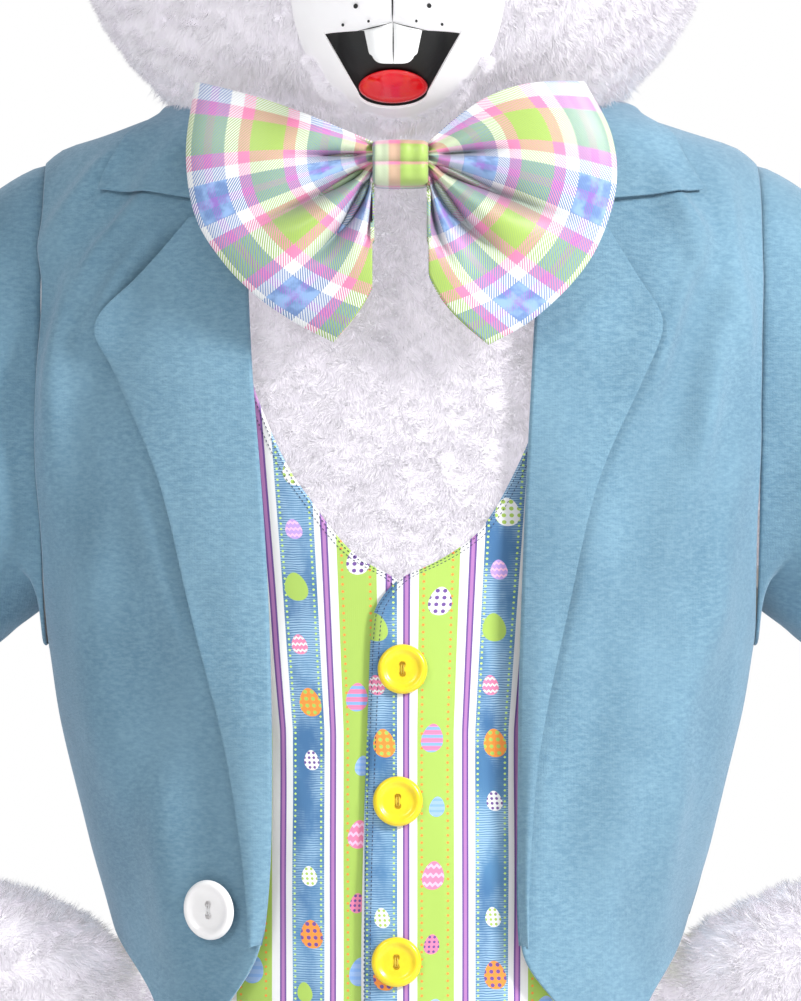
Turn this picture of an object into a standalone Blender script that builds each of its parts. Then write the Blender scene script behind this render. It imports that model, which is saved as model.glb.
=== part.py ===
"""Easter bunny costume, worn and hollow: a plush jumpsuit with mitts, a printed vest, a tailored jacket,
a large bow tie and a rabbit head.

Metres, +Z up, the front faces -Y. The origin is between the wearer's shoulders, where the suit hangs.
Left and right are the wearer's, so left is +X. Each panel is a wall between an outer and an inner grid of
points, and both grids are worked out from the same body form, so that the layers follow each other.
"""

import math

import bmesh
import bpy
from mathutils import Vector

for old in list(bpy.data.objects):
    bpy.data.objects.remove(old, do_unlink=True)

SEAM = 0.0003
FUR_WALL = 0.011
CLOTH_WALL = 0.0025
PRINT_WALL = 0.002
SECTION_POWER = 2.2
LEFT = 1
RIGHT = -1

# Body forms: height, half width, depth of the front, depth of the back.
FUR_FORM = [
    (0.045, 0.106, 0.094, 0.085),
    (0.038, 0.132, 0.110, 0.093),
    (0.029, 0.160, 0.125, 0.101),
    (0.016, 0.200, 0.140, 0.112),
    (-0.004, 0.234, 0.1492, 0.124),
    (-0.045, 0.257, 0.1592, 0.1419),
    (-0.100, 0.264, 0.165, 0.158),
    (-0.160, 0.262, 0.170, 0.169),
    (-0.250, 0.248, 0.176, 0.180),
    (-0.350, 0.229, 0.184, 0.188),
    (-0.450, 0.215, 0.192, 0.193),
    (-0.550, 0.206, 0.199, 0.197),
    (-0.620, 0.203, 0.202, 0.200),
    (-0.690, 0.209, 0.203, 0.203),
    (-0.770, 0.232, 0.204, 0.208),
]
JACKET_FORM = [
    (0.054, 0.112, 0.102, 0.094),
    (0.047, 0.139, 0.118, 0.102),
    (0.038, 0.168, 0.133, 0.110),
    (0.025, 0.208, 0.148, 0.121),
    (0.003, 0.271, 0.163, 0.136),
    (-0.043, 0.302, 0.1745, 0.152),
    (-0.100, 0.313, 0.181, 0.168),
    (-0.160, 0.315, 0.186, 0.182),
    (-0.250, 0.308, 0.194, 0.195),
    (-0.330, 0.294, 0.202, 0.203),
    (-0.390, 0.281, 0.207, 0.208),
    (-0.450, 0.270, 0.211, 0.212),
    (-0.540, 0.2480, 0.216, 0.217),
    (-0.616, 0.228, 0.220, 0.221),
    (-0.700, 0.221, 0.225, 0.225),
]
# Legs: height, centre from the middle, half width, depth of the front, depth of the back.
LEG_FORM = [
    (-0.870, 0.1240, 0.1225, 0.160, 0.174),
    (-0.960, 0.1310, 0.1180, 0.138, 0.146),
    (-1.090, 0.1370, 0.1090, 0.120, 0.124),
    (-1.240, 0.1400, 0.1040, 0.110, 0.112),
    (-1.340, 0.1420, 0.1040, 0.108, 0.110),
    (-1.385, 0.1420, 0.0880, 0.092, 0.094),
]
HIP = -0.710
CROTCH = -0.870

# Arm line of the left arm, from inside the armhole to past the fist, hand on hip.
ARM_LINE = [
    (0.205, 0.000, -0.150),
    (0.300, 0.005, -0.205),
    (0.400, 0.014, -0.295),
    (0.474, 0.020, -0.395),
    (0.488, 0.012, -0.485),
    (0.440, -0.006, -0.570),
    (0.362, -0.026, -0.622),
    (0.288, -0.040, -0.648),
    (0.222, -0.046, -0.654),
]
# Rings along the arm line: share of its length, radius across, radius forward.
FUR_SLEEVE = [(0.20, 0.100, 0.090), (0.45, 0.074, 0.074), (0.70, 0.064, 0.064), (0.90, 0.056, 0.058)]
JACKET_SLEEVE = [(0.20, 0.128, 0.112), (0.45, 0.092, 0.090), (0.62, 0.084, 0.084), (0.76, 0.076, 0.078)]
FUR_ARMHOLE = 0.236
JACKET_ARMHOLE = 0.281
FUR_SLEEVE_END = 0.800
JACKET_SLEEVE_END = 0.750
MITT_WALL = 0.010

# The vest's front edges: height, then the distance from the middle.
VEST_NECK_RIGHT = [
    (0.030, 0.138), (-0.060, 0.124), (-0.122, 0.116), (-0.175, 0.114), (-0.205, 0.105),
    (-0.251, 0.084), (-0.274, 0.068), (-0.300, 0.049), (-0.319, 0.030), (-0.334, 0.004),
    (-0.345, -0.004), (-0.640, -0.004),
]
VEST_NECK_LEFT = [
    (0.030, 0.138), (-0.060, 0.124), (-0.140, 0.114), (-0.209, 0.104), (-0.258, 0.084),
    (-0.296, 0.061), (-0.312, 0.042), (-0.323, 0.023), (-0.334, 0.000), (-0.350, -0.015),
    (-0.365, -0.021), (-0.426, -0.024), (-0.578, -0.029), (-0.640, -0.029),
]
VEST_GAP = 0.0013
VEST_SIDE_GAP = 0.0076
VEST_SHOULDER_GAP = 0.0027
VEST_OVERLAP_LIFT = 0.0038
VEST_OVERLAP_FADE = 0.050
VEST_TOP = 0.030
VEST_HEM = -0.640
VEST_HEM_DROP = 0.024
VEST_ARMHOLE = [(0.019, 0.190), (-0.060, 0.193), (-0.130, 0.197), (-0.200, 0.205), (-0.260, 0.216),
                (-0.305, 0.227), (-0.328, 0.2325)]
VEST_COLUMNS = [0, 0.08, 0.18, 0.32, 0.49, 0.66, 0.83, 1]

# The jacket's fold line: height, then its distance from the middle, right and left.
JACKET_FOLD = [
    (0.054, 0.090, 0.090), (0.022, 0.108, 0.103), (-0.060, 0.118, 0.110), (-0.144, 0.117, 0.104),
    (-0.350, 0.1026, 0.094), (-0.524, 0.100, 0.090), (-0.600, 0.105, 0.091), (-0.625, 0.112, 0.096),
    (-0.654, 0.130, 0.117), (-0.676, 0.147, 0.137), (-0.690, 0.161, 0.156),
]
# Where the front ends at the open side vent: height, distance from the middle.
JACKET_VENT = [(-0.560, 0.2427), (-0.600, 0.2295), (-0.616, 0.2230), (-0.654, 0.1960),
               (-0.676, 0.1850), (-0.690, 0.1730)]
JACKET_TOP = 0.052
VENT_TOP = -0.560
JACKET_FRONT_HEM = -0.690
JACKET_BACK_HEM = -0.604

# The lapels: share of the length, height at the fold, then the outer edge: height, distance from the
# middle on the right, distance from the middle on the left.
LAPELS = [
    (0.00, -0.054, -0.058, 0.160, 0.152),
    (0.08, -0.064, -0.080, 0.178, 0.166),
    (0.16, -0.078, -0.106, 0.200, 0.181),
    (0.24, -0.098, -0.132, 0.223, 0.193),
    (0.29, -0.118, -0.150, 0.2265, 0.192),
    (0.36, -0.160, -0.186, 0.212, 0.178),
    (0.50, -0.250, -0.262, 0.181, 0.148),
    (0.65, -0.350, -0.358, 0.157, 0.125),
    (0.80, -0.465, -0.470, 0.130, 0.103),
    (0.90, -0.550, -0.553, 0.117, 0.096),
    (1.00, -0.612, -0.614, 0.1125, 0.0945),
]
LAPEL_GAP = 0.0008
LAPEL_RISE = 0.0045
# The collar: share of half its length from the middle of the back, inner edge as angle and height,
# outer edge as angle and height.
COLLAR = [
    (0.00, 180, 0.051, 180, 0.004),
    (0.30, 130, 0.050, 137, 0.014),
    (0.55, 85, 0.046, 94, 0.034),
    (0.72, 55, 0.039, 61, 0.024),
    (0.85, 37, 0.016, 49, -0.001),
    (1.00, 22, -0.046, 48.5, -0.0355),
]
COLLAR_GAP = 0.0026
COLLAR_RISE = 0.0015

# The head: a rounded block with its centre, half sizes and power. Its rim lies in a sloping plane.
HEAD_CENTRE = Vector((-0.005, -0.050, 0.215))
HEAD_HALF = Vector((0.256, 0.216, 0.225))
HEAD_POWER = 2.2
HEAD_WALL = 0.014
HEAD_RIM = 0.0513
HEAD_RIM_SLOPE = 0.17
CHIN_DROP = 0.015
# The muzzle: an oval dome on the front of the head.
MUZZLE_X, MUZZLE_Z = -0.002, 0.113
MUZZLE_WIDTH, MUZZLE_HEIGHT, MUZZLE_RISE = 0.081, 0.097, 0.056
MUZZLE_WALL = 0.003
MUZZLE_GAP = 0.0045
# The mouth: centre, half width, heights above and below the centre, of the hole and of the lining.
MOUTH_X, MOUTH_Z = -0.0056, 0.0755
MOUTH_HOLE = (0.0505, 0.0065, 0.0465)
MOUTH_LINING = (0.0545, 0.0210, 0.0475)
MOUTH_GAP = 0.0035
MOUTH_DEPTH = 0.012

# Buttons: diameter, thickness.
VEST_BUTTON = (0.038, 0.0060)
VEST_BUTTONS = {"top": (0.0015, -0.403), "middle": (-0.002, -0.503), "bottom": (-0.003, -0.624)}
JACKET_BUTTON = (0.046, 0.0065)
JACKET_BUTTON_PLACE = (-0.143, -0.586)

# The bow: outer edge of each wing as share from the bottom to the top, distance from the middle, height.
BOW_RIGHT = [(-1.0, 0.051, -0.154), (-0.7, 0.080, -0.139), (-0.4, 0.108, -0.120), (-0.1, 0.134, -0.094),
             (0.25, 0.156, -0.058), (0.6, 0.163, -0.010), (1.0, 0.156, 0.044)]
BOW_LEFT = [(-1.0, 0.067, -0.156), (-0.6, 0.100, -0.137), (-0.2, 0.133, -0.106), (0.1, 0.152, -0.076),
            (0.4, 0.164, -0.035), (0.7, 0.160, 0.005), (1.0, 0.140, 0.044)]
BOW_KNOT = Vector((0.000, -0.204, -0.018))
KNOT_BACK = 0.0129
KNOT_SIZE = Vector((0.042, 0.0712, 0.036))
BOW_PINCH = 0.015
BOW_FULLNESS = 0.021
BOW_PLEATS = 3


def at(table, height, column=1):
    """A table's column at a height, on a smooth curve through its rows."""
    rows = sorted(table)
    if height <= rows[0][0]:
        return rows[0][column]
    if height >= rows[-1][0]:
        return rows[-1][column]
    k = max(i for i in range(len(rows) - 1) if rows[i][0] <= height)

    def slope(i):
        low, high = max(i - 1, 0), min(i + 1, len(rows) - 1)
        return (rows[high][column] - rows[low][column]) / (rows[high][0] - rows[low][0])

    width = rows[k + 1][0] - rows[k][0]
    t = (height - rows[k][0]) / width
    return (
        (2 * t**3 - 3 * t**2 + 1) * rows[k][column]
        + (t**3 - 2 * t**2 + t) * width * slope(k)
        + (3 * t**2 - 2 * t**3) * rows[k + 1][column]
        + (t**3 - t**2) * width * slope(k + 1)
    )


def smooth(t):
    """0 to 1 with soft ends."""
    t = min(max(t, 0.0), 1.0)
    return t * t * (3 - 2 * t)


def bent(value, power):
    """A sine or cosine raised to a power with its sign kept."""
    return math.copysign(abs(value) ** power, value)


def form_point(form, angle, height, lift=0.0):
    """A point of a body form: angle from the middle of the front towards +X, moved out by lift."""

    def base(a, h):
        depth = at(form, h, 2) if math.cos(a) > 0 else at(form, h, 3)
        share = 2 / SECTION_POWER
        return Vector((at(form, h, 1) * bent(math.sin(a), share), -depth * bent(math.cos(a), share), h))

    point = base(angle, height)
    if lift:
        small = 0.0005
        top = sorted(form)[-1][0] - 2 * small
        middle = min(height, top)
        step = 0.02
        around = base(angle + step, middle) - base(angle - step, middle)
        along = base(angle, middle + small) - base(angle, middle - small)
        point += around.cross(along).normalized() * lift
    return point


def angle_at(form, x, height):
    """The angle at which a form's section is x wide."""
    share = min(abs(x) / at(form, height, 1), 1.0)
    return math.copysign(math.asin(share ** (SECTION_POWER / 2)), x)


def armhole_span(form, x):
    """The heights of the underarm and of the shoulder point, where the form is just x wide."""

    def crossing(inside, outside):
        for _ in range(50):
            middle = (inside + outside) / 2
            if at(form, middle, 1) > x:
                inside = middle
            else:
                outside = middle
        return inside

    widest = max(form, key=lambda row: row[1])[0]
    return crossing(widest, -0.55), crossing(widest, 0.05)


def armhole_heights(form, x, steps):
    """Heights round an armhole, closer together at its ends."""
    low, high = armhole_span(form, x)
    middle, half = (low + high) / 2, (high - low) / 2
    return [middle + half * math.cos(math.pi * k / steps) for k in range(steps + 1)]


def side_angle(form, x, height):
    """Where a panel ends at its side: at the side seam, or at the armhole above the underarm."""
    low, high = armhole_span(form, x)
    if not low < height < high:
        return math.pi / 2
    return angle_at(form, x, height)


def spaced(start, stop, steps):
    """Evenly spaced heights, without the last one."""
    return [start + (stop - start) * k / steps for k in range(steps)]


def material(name, colour, roughness, metallic=0.0):
    made = bpy.data.materials.new(name)
    made.use_nodes = True
    shader = made.node_tree.nodes["Principled BSDF"]
    shader.inputs["Base Color"].default_value = (*colour, 1)
    shader.inputs["Roughness"].default_value = roughness
    shader.inputs["Metallic"].default_value = metallic
    return made


MATERIALS = {
    "plush": material("plush", (0.90, 0.89, 0.91), 0.95),
    "blue": material("blue", (0.33, 0.52, 0.66), 0.85),
    "print": material("print", (0.62, 0.78, 0.40), 0.55),
    "plaid": material("plaid", (0.92, 0.72, 0.80), 0.50),
    "yellow": material("yellow", (0.95, 0.80, 0.08), 0.30),
    "white": material("white", (0.92, 0.90, 0.91), 0.30),
    "mouth": material("mouth", (0.02, 0.02, 0.02), 0.25),
    "tongue": material("tongue", (0.80, 0.01, 0.01), 0.15),
    "pink": material("pink", (0.90, 0.55, 0.65), 0.60),
    "eye": material("eye", (0.05, 0.06, 0.08), 0.15),
}

part = bpy.data.collections.new("easter_bunny_costume")
bpy.context.scene.collection.children.link(part)


def add_object(name, mesh, look):
    mesh.materials.append(MATERIALS[look])
    mesh.shade_smooth()
    mesh.set_sharp_from_angle(angle=math.radians(50))
    made = bpy.data.objects.new(name, mesh)
    part.objects.link(made)
    return made


def wall(name, look, outer, inner, closed=False, cap=False):
    """A closed solid between two grids of points. Closed joins the last column to the first, and cap
    fills the last row of both grids."""
    shell = bmesh.new()
    skins = [[[shell.verts.new(p) for p in row] for row in grid] for grid in (outer, inner)]
    rows, columns = len(outer), len(outer[0])
    spans = [(j, (j + 1) % columns) for j in range(columns if closed else columns - 1)]
    for skin in skins:
        for low, high in zip(skin, skin[1:]):
            for j, k in spans:
                shell.faces.new((low[j], low[k], high[k], high[j]))
    ends = [0] if cap else [0, rows - 1]
    for i in ends:
        for j, k in spans:
            shell.faces.new((skins[0][i][j], skins[0][i][k], skins[1][i][k], skins[1][i][j]))
    if cap:
        for skin in skins:
            shell.faces.new(skin[-1])
    if not closed:
        for j in (0, columns - 1):
            for i in range(rows - 1):
                shell.faces.new(
                    (skins[0][i][j], skins[0][i + 1][j], skins[1][i + 1][j], skins[1][i][j])
                )
    bmesh.ops.recalc_face_normals(shell, faces=shell.faces)
    mesh = bpy.data.meshes.new(name)
    shell.to_mesh(mesh)
    shell.free()
    return add_object(name, mesh, look)


def skins(surface, thickness, rows, columns, shift=(0, 0, 0)):
    """Outer and inner grids of a wall. surface gives the outer point and the outward direction for a row
    and a column, and shift parts the wall from its neighbours at the seams."""
    grids = [[], []]
    for row in rows:
        lines = [[], []]
        for column in columns:
            point, outward = surface(row, column)
            lines[0].append(point + Vector(shift))
            lines[1].append(point - outward * thickness + Vector(shift))
        for grid, line in zip(grids, lines):
            grid.append(line)
    return grids


def shares(steps):
    return [k / steps for k in range(steps + 1)]


def form_normal(form, angle, height):
    return (form_point(form, angle, height, 1.0) - form_point(form, angle, height)).normalized()


def cloth(name, look, form, heights, columns, span, thickness, lift=None, drop=None, shift=(0, 0, 0)):
    """A panel on a body form. span gives the angles of its two edges at a height, lift its distance out
    from the form, and drop moves a height down to shape a hem."""

    def surface(height, share):
        start, stop = span(height)
        angle = start + (stop - start) * share
        low = height - (drop(angle, height) if drop else 0.0)
        away = lift(angle, low) if lift else 0.0
        return form_point(form, angle, low, away), form_normal(form, angle, low)

    columns = shares(columns) if isinstance(columns, int) else columns
    return wall(name, look, *skins(surface, thickness, heights, columns, shift))


# Jumpsuit. Each panel runs from the neck to the ankle, so it joins a body grid to half of a leg.


def leg_point(angle, height, side, half):
    """A point on a leg: the angle runs from the inner seam (-90 degrees) to the side seam (90 degrees),
    and half is -1 on the front and 1 on the back."""
    centre, width = at(LEG_FORM, height, 1), at(LEG_FORM, height, 2)
    depth = at(LEG_FORM, height, 3 if half < 0 else 4)
    share = 2 / SECTION_POWER
    return Vector((
        side * (centre + width * bent(math.sin(angle), share)),
        half * depth * bent(math.cos(angle), share),
        height,
    ))


def jumpsuit_point(height, share, side, half):
    """A point on a jumpsuit panel: share runs from the middle seam to the side seam."""
    if height > HIP:
        angle = side_angle(FUR_FORM, FUR_ARMHOLE, height) * share
        angle = angle if half < 0 else math.pi - angle
        return form_point(FUR_FORM, side * angle, height)
    leg_angle = math.pi * (share - 0.5)
    if height <= CROTCH:
        return leg_point(leg_angle, height, side, half)
    torso_angle = side * math.pi / 2 * share
    torso = form_point(FUR_FORM, torso_angle if half < 0 else side * math.pi - torso_angle, HIP)
    leg = leg_point(leg_angle, CROTCH, side, half)
    t = (HIP - height) / (HIP - CROTCH)
    length = HIP - CROTCH
    inner = (1 - share) ** 2
    leave = Vector((0, 0, -length * (1 - 0.2 * inner)))
    arrive = Vector((0, -half * length * 1.1 * inner, -length * (1 - inner)))
    if share == 0:
        torso.x = leg.x = 0.0
    return (
        (2 * t**3 - 3 * t**2 + 1) * torso + (t**3 - 2 * t**2 + t) * leave
        + (3 * t**2 - 2 * t**3) * leg + (t**3 - t**2) * arrive
    )


def jumpsuit_panel(name, side, half):
    small = 0.002

    def surface(height, share):
        point = jumpsuit_point(height, share, side, half)
        across = (
            jumpsuit_point(height, share + small, side, half)
            - jumpsuit_point(height, share - small, side, half)
        )
        down = (
            jumpsuit_point(height - small, share, side, half)
            - jumpsuit_point(min(height + small, FUR_FORM[0][0]), share, side, half)
        )
        outward = down.cross(across) * side * -half
        if share in (0, 1):
            seam_across = share == 0 and height > CROTCH
            outward[0 if seam_across else 1] = 0.0
        if share == 0 and abs(height - CROTCH) < 1e-9:
            outward = Vector((-side, 0, -1))
        return point, outward.normalized()

    low, high = armhole_span(FUR_FORM, FUR_ARMHOLE)
    heights = spaced(FUR_FORM[0][0], high, 5) + armhole_heights(FUR_FORM, FUR_ARMHOLE, 8)
    heights += spaced(low, HIP, 6)[1:] + spaced(HIP, CROTCH, 3) + [row[0] for row in LEG_FORM]
    shift = (side * SEAM / 2, half * SEAM / 2, 0)
    return wall(name, "plush", *skins(surface, FUR_WALL, heights, shares(7 if half < 0 else 6), shift))


for side, side_name in ((LEFT, "left"), (RIGHT, "right")):
    jumpsuit_panel(f"fur_front_{side_name}", side, -1)
    jumpsuit_panel(f"fur_back_{side_name}", side, 1)


# Sleeves and mitts, swept along the arm line.


def arm_point(share):
    """A point on the arm line, at a share of the number of its spans, on a smooth curve."""
    table = [(i / (len(ARM_LINE) - 1), *row) for i, row in enumerate(ARM_LINE)]
    return Vector([at(table, share, column) for column in (1, 2, 3)])


def arm_frame(share):
    """The arm line's point, and its directions along, up and forward."""
    along = (arm_point(min(share + 0.01, 1)) - arm_point(max(share - 0.01, 0))).normalized()
    forward = Vector((0, -1, 0))
    forward = (forward - along * forward.dot(along)).normalized()
    return arm_point(share), along, forward.cross(along).normalized(), forward


def armhole_ring(form, x, turn):
    """A point on the armhole outline of a form, and its outward direction in the plane of the armhole."""
    low, high = armhole_span(form, x)

    def outline(angle):
        height = (low + high) / 2 + (high - low) / 2 * math.cos(angle)
        section = angle_at(form, x, height)
        if math.sin(angle) < 0:
            section = math.pi - section
        point = form_point(form, section, height)
        point.x = x
        return point

    step = 0.01
    tangent = outline(turn + step) - outline(turn - step)
    return outline(turn), Vector((0, -tangent.z, tangent.y)).normalized() * -1


def sleeve_ring(table, share, turn):
    """A point on a sleeve's ring and its outward direction."""
    centre, along, up, forward = arm_frame(share)
    high, wide = at(table, share, 1), at(table, share, 2)
    point = centre + up * high * math.cos(turn) + forward * wide * math.sin(turn)
    outward = (up * math.cos(turn) / high + forward * math.sin(turn) / wide).normalized()
    return point, outward


def sleeve(name, look, form, armhole, table, end, thickness, side, rings, columns):
    """A sleeve from the armhole to its cuff. Its first rings turn from the armhole's outline into the
    round rings of the arm."""
    blend = table[0][0]

    def surface(share, turn):
        turn = turn * math.tau
        if share >= blend:
            point, outward = sleeve_ring(table, share, turn)
        else:
            t = share / blend
            first, first_outward = armhole_ring(form, armhole, turn)
            first.x += SEAM
            last, last_outward = sleeve_ring(table, blend, turn)
            run = (last - first).length
            leave = Vector((run, 0, -run * 0.35))
            arrive = arm_frame(blend)[1] * run
            point = (
                (2 * t**3 - 3 * t**2 + 1) * first + (t**3 - 2 * t**2 + t) * leave
                + (3 * t**2 - 2 * t**3) * last + (t**3 - t**2) * arrive
            )
            outward = first_outward.lerp(last_outward, smooth(t)).normalized()
        return Vector((side * point.x, *point.yz)), Vector((side * outward.x, *outward.yz))

    rows = [blend * k / 4 for k in range(4)] + [blend + (end - blend) * k / rings for k in range(rings + 1)]
    turns = shares(columns)[:-1]
    return wall(name, look, *skins(surface, thickness, rows, turns), closed=True)


def mitt(name, side):
    """A round mitt that goes on from the plush sleeve and closes over the fist."""
    start = FUR_SLEEVE_END + 0.0006

    def surface(share, turn):
        turn = turn * math.tau
        centre, along, up, forward = arm_frame(start)
        wrist = at(FUR_SLEEVE, start, 1)
        reach = 0.125
        bulge = wrist * (math.cos(share * 1.53)) ** 0.55 * (1 + 0.10 * math.sin(math.pi * share))
        middle = centre + along * reach * math.sin(share * 1.53) + Vector((0, 0, -0.004 * share))
        outward = (up * math.cos(turn) + forward * math.sin(turn)) * math.cos(share * 1.4)
        outward = (outward + along * math.sin(share * 1.4)).normalized()
        point = middle + (up * math.cos(turn) + forward * math.sin(turn)) * bulge
        return Vector((side * point.x, *point.yz)), Vector((side * outward.x, *outward.yz))

    rows = [0, 0.2, 0.4, 0.6, 0.78, 0.9, 0.97]
    return wall(name, "plush", *skins(surface, MITT_WALL, rows, shares(12)[:-1]), closed=True, cap=True)


for side, side_name in ((LEFT, "left"), (RIGHT, "right")):
    sleeve(f"fur_sleeve_{side_name}", "plush", FUR_FORM, FUR_ARMHOLE, FUR_SLEEVE, FUR_SLEEVE_END,
           FUR_WALL, side, 5, 12)
    sleeve(f"jacket_sleeve_{side_name}", "blue", JACKET_FORM, JACKET_ARMHOLE, JACKET_SLEEVE,
           JACKET_SLEEVE_END, CLOTH_WALL, side, 6, 16)
    mitt(f"mitt_{side_name}", side)


# Vest.


def vest_lift(edge_table, over):
    """How far a vest panel's outer face lies from the plush. The upper front rises over the lower one."""

    def lift(angle, height):
        under_arm = smooth((-0.05 - height) / 0.15) * math.sin(angle) ** 2
        under_arm *= 1 - 0.6 * smooth((-0.42 - height) / 0.12)
        shoulder = smooth((height + 0.10) / 0.05)
        away = VEST_GAP + VEST_SIDE_GAP * under_arm + VEST_SHOULDER_GAP * shoulder + PRINT_WALL
        if over:
            x = form_point(FUR_FORM, angle, height).x
            away += VEST_OVERLAP_LIFT * smooth((VEST_OVERLAP_FADE - x) / (VEST_OVERLAP_FADE - 0.006))
        return away

    return lift


def vest_drop(angle, height):
    """The hem hangs lower towards the middle of the front."""
    share = smooth((VEST_TOP - 0.5 - height) / (VEST_TOP - 0.5 - VEST_HEM))
    return VEST_HEM_DROP * share * max(math.cos(angle), 0.0)


def vest_side(height):
    """The angle at which a vest panel ends: the side seam, or the armhole's edge."""
    if VEST_ARMHOLE[-1][0] < height < VEST_ARMHOLE[0][0]:
        return angle_at(FUR_FORM, at(VEST_ARMHOLE, height), height)
    return math.pi / 2


def vest_front(name, side, table, over):
    def span(height):
        return side * angle_at(FUR_FORM, at(table, height), height), side * vest_side(height)

    heights = [VEST_TOP, 0.019, 0.009, -0.005, -0.024, -0.054, -0.110, -0.160, -0.205, -0.240, -0.268, -0.290, -0.308,
               -0.322, -0.334, -0.345, -0.365, -0.410, -0.470, -0.530, -0.590, -0.620, VEST_HEM]
    cloth(name, "print", FUR_FORM, heights, VEST_COLUMNS, span, PRINT_WALL, vest_lift(table, over),
          vest_drop, (0, -SEAM / 2, 0))


vest_front("vest_front_left", LEFT, VEST_NECK_LEFT, True)
vest_front("vest_front_right", RIGHT, VEST_NECK_RIGHT, False)
cloth(
    "vest_back", "print", FUR_FORM,
    [VEST_TOP, 0.019, 0.009, -0.005, -0.024, -0.054, -0.110, -0.170, -0.230, -0.280, -0.310, -0.328, -0.350, -0.440,
     -0.540, -0.590, VEST_HEM], 12,
    lambda height: (math.pi - vest_side(height), math.pi + vest_side(height)),
    PRINT_WALL, vest_lift(VEST_NECK_RIGHT, False), None, (0, SEAM / 2, 0),
)


# Jacket body.


def jacket_front(name, side, column):
    def span(height):
        start = angle_at(JACKET_FORM, at(JACKET_FOLD, height, column), height)
        if height > VENT_TOP:
            return side * start, side * side_angle(JACKET_FORM, JACKET_ARMHOLE, height)
        return side * start, side * angle_at(JACKET_FORM, at(JACKET_VENT, height), height)

    low, high = armhole_span(JACKET_FORM, JACKET_ARMHOLE)
    heights = spaced(JACKET_TOP, high, 3) + armhole_heights(JACKET_FORM, JACKET_ARMHOLE, 8)
    heights += [-0.450, -0.510, VENT_TOP, -0.600, -0.630, -0.654, -0.674, -0.684, JACKET_FRONT_HEM]
    cloth(name, "blue", JACKET_FORM, heights, 7, span, CLOTH_WALL, shift=(0, -SEAM / 2, 0))


jacket_front("jacket_front_right", RIGHT, 1)
jacket_front("jacket_front_left", LEFT, 2)


def jacket_back():
    low, high = armhole_span(JACKET_FORM, JACKET_ARMHOLE)

    def span(height):
        edge = side_angle(JACKET_FORM, JACKET_ARMHOLE, height)
        return math.pi - edge, math.pi + edge

    heights = spaced(JACKET_TOP, high, 3) + armhole_heights(JACKET_FORM, JACKET_ARMHOLE, 8)
    heights += [-0.450, -0.510, VENT_TOP, JACKET_BACK_HEM]
    cloth("jacket_back", "blue", JACKET_FORM, heights, 12, span, CLOTH_WALL, shift=(0, SEAM / 2, 0))


jacket_back()


# Lapels and collar lie on the jacket, a little further out towards their free edges.


def lapel(name, side, column):
    def surface(length, share):
        fold_height = at(LAPELS, length, 1)
        height = fold_height + (at(LAPELS, length, 2) - fold_height) * share
        fold = at(JACKET_FOLD, fold_height, column) + 0.001
        x = fold + (at(LAPELS, length, 2 + column) - fold) * share
        angle = side * angle_at(JACKET_FORM, x, height)
        away = LAPEL_GAP + CLOTH_WALL + LAPEL_RISE * share
        return form_point(JACKET_FORM, angle, height, away), form_normal(JACKET_FORM, angle, height)

    lengths = [row[0] for row in LAPELS]
    return wall(name, "blue", *skins(surface, CLOTH_WALL, lengths, shares(4)))


lapel("lapel_right", RIGHT, 1)
lapel("lapel_left", LEFT, 2)


def collar():
    def surface(length, share):
        place = abs(length)
        inner, inner_height = math.radians(at(COLLAR, place, 1)), at(COLLAR, place, 2)
        outer, outer_height = math.radians(at(COLLAR, place, 3)), at(COLLAR, place, 4)
        angle = inner + (outer - inner) * share
        height = inner_height + (outer_height - inner_height) * share
        if length < 0:
            angle = math.tau - angle
        away = COLLAR_GAP + CLOTH_WALL + COLLAR_RISE * share
        return form_point(JACKET_FORM, angle, height, away), form_normal(JACKET_FORM, angle, height)

    lengths = [-1 + k / 14 for k in range(29)]
    return wall("collar", "blue", *skins(surface, CLOTH_WALL, lengths, shares(3)))


collar()


# Buttons: a turned disc with a raised rim and two holes.


def button(name, look, size, place, outward):
    radius, thick = size[0] / 2, size[1]
    profile = [(0, thick * 0.62), (radius * 0.60, thick * 0.62), (radius * 0.74, thick), (radius * 0.90, thick),
               (radius, thick * 0.55), (radius * 0.86, 0), (0, 0)]
    disc = bmesh.new()
    points = [disc.verts.new((r, 0, z)) for r, z in profile]
    for a, b in zip(points, points[1:]):
        disc.edges.new((a, b))
    mesh = bpy.data.meshes.new(name)
    disc.to_mesh(mesh)
    disc.free()
    made = add_object(name, mesh, look)
    turned = made.modifiers.new("turned", "SCREW")
    turned.steps = turned.render_steps = 14
    turned.use_merge_vertices = True
    turned.merge_threshold = 0.0001
    made.location = place
    made.rotation_mode = "QUATERNION"
    made.rotation_quaternion = outward.to_track_quat("Z", "Y")
    return made


cutters = bpy.data.collections.new("cutters")
bpy.context.scene.collection.children.link(cutters)


def button_holes(made, spacing, radius, direction):
    """Cuts two round thread holes through a button."""
    for sign in (-1, 1):
        drill = bmesh.new()
        bmesh.ops.create_cone(drill, cap_ends=True, segments=8, radius1=radius, radius2=radius, depth=0.03)
        mesh = bpy.data.meshes.new("hole")
        drill.to_mesh(mesh)
        drill.free()
        cutter = bpy.data.objects.new(f"{made.name}_hole_{sign + 1}", mesh)
        cutters.objects.link(cutter)
        cutter.hide_render = True
        cutter.display_type = "WIRE"
        cutter.parent = made
        cutter.location = Vector(direction) * sign * spacing
        cut = made.modifiers.new(cutter.name, "BOOLEAN")
        cut.operation = "DIFFERENCE"
        cut.object = cutter


BUTTON_GAP = 0.0006

for place_name, (x, height) in VEST_BUTTONS.items():
    angle = angle_at(FUR_FORM, x, height)
    away = vest_lift(VEST_NECK_LEFT, True)(angle, height) + BUTTON_GAP
    made = button(
        f"vest_button_{place_name}", "yellow", VEST_BUTTON, form_point(FUR_FORM, angle, height, away),
        form_normal(FUR_FORM, angle, height),
    )
    button_holes(made, 0.0058, 0.0028, (0, 1, 0))

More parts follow.
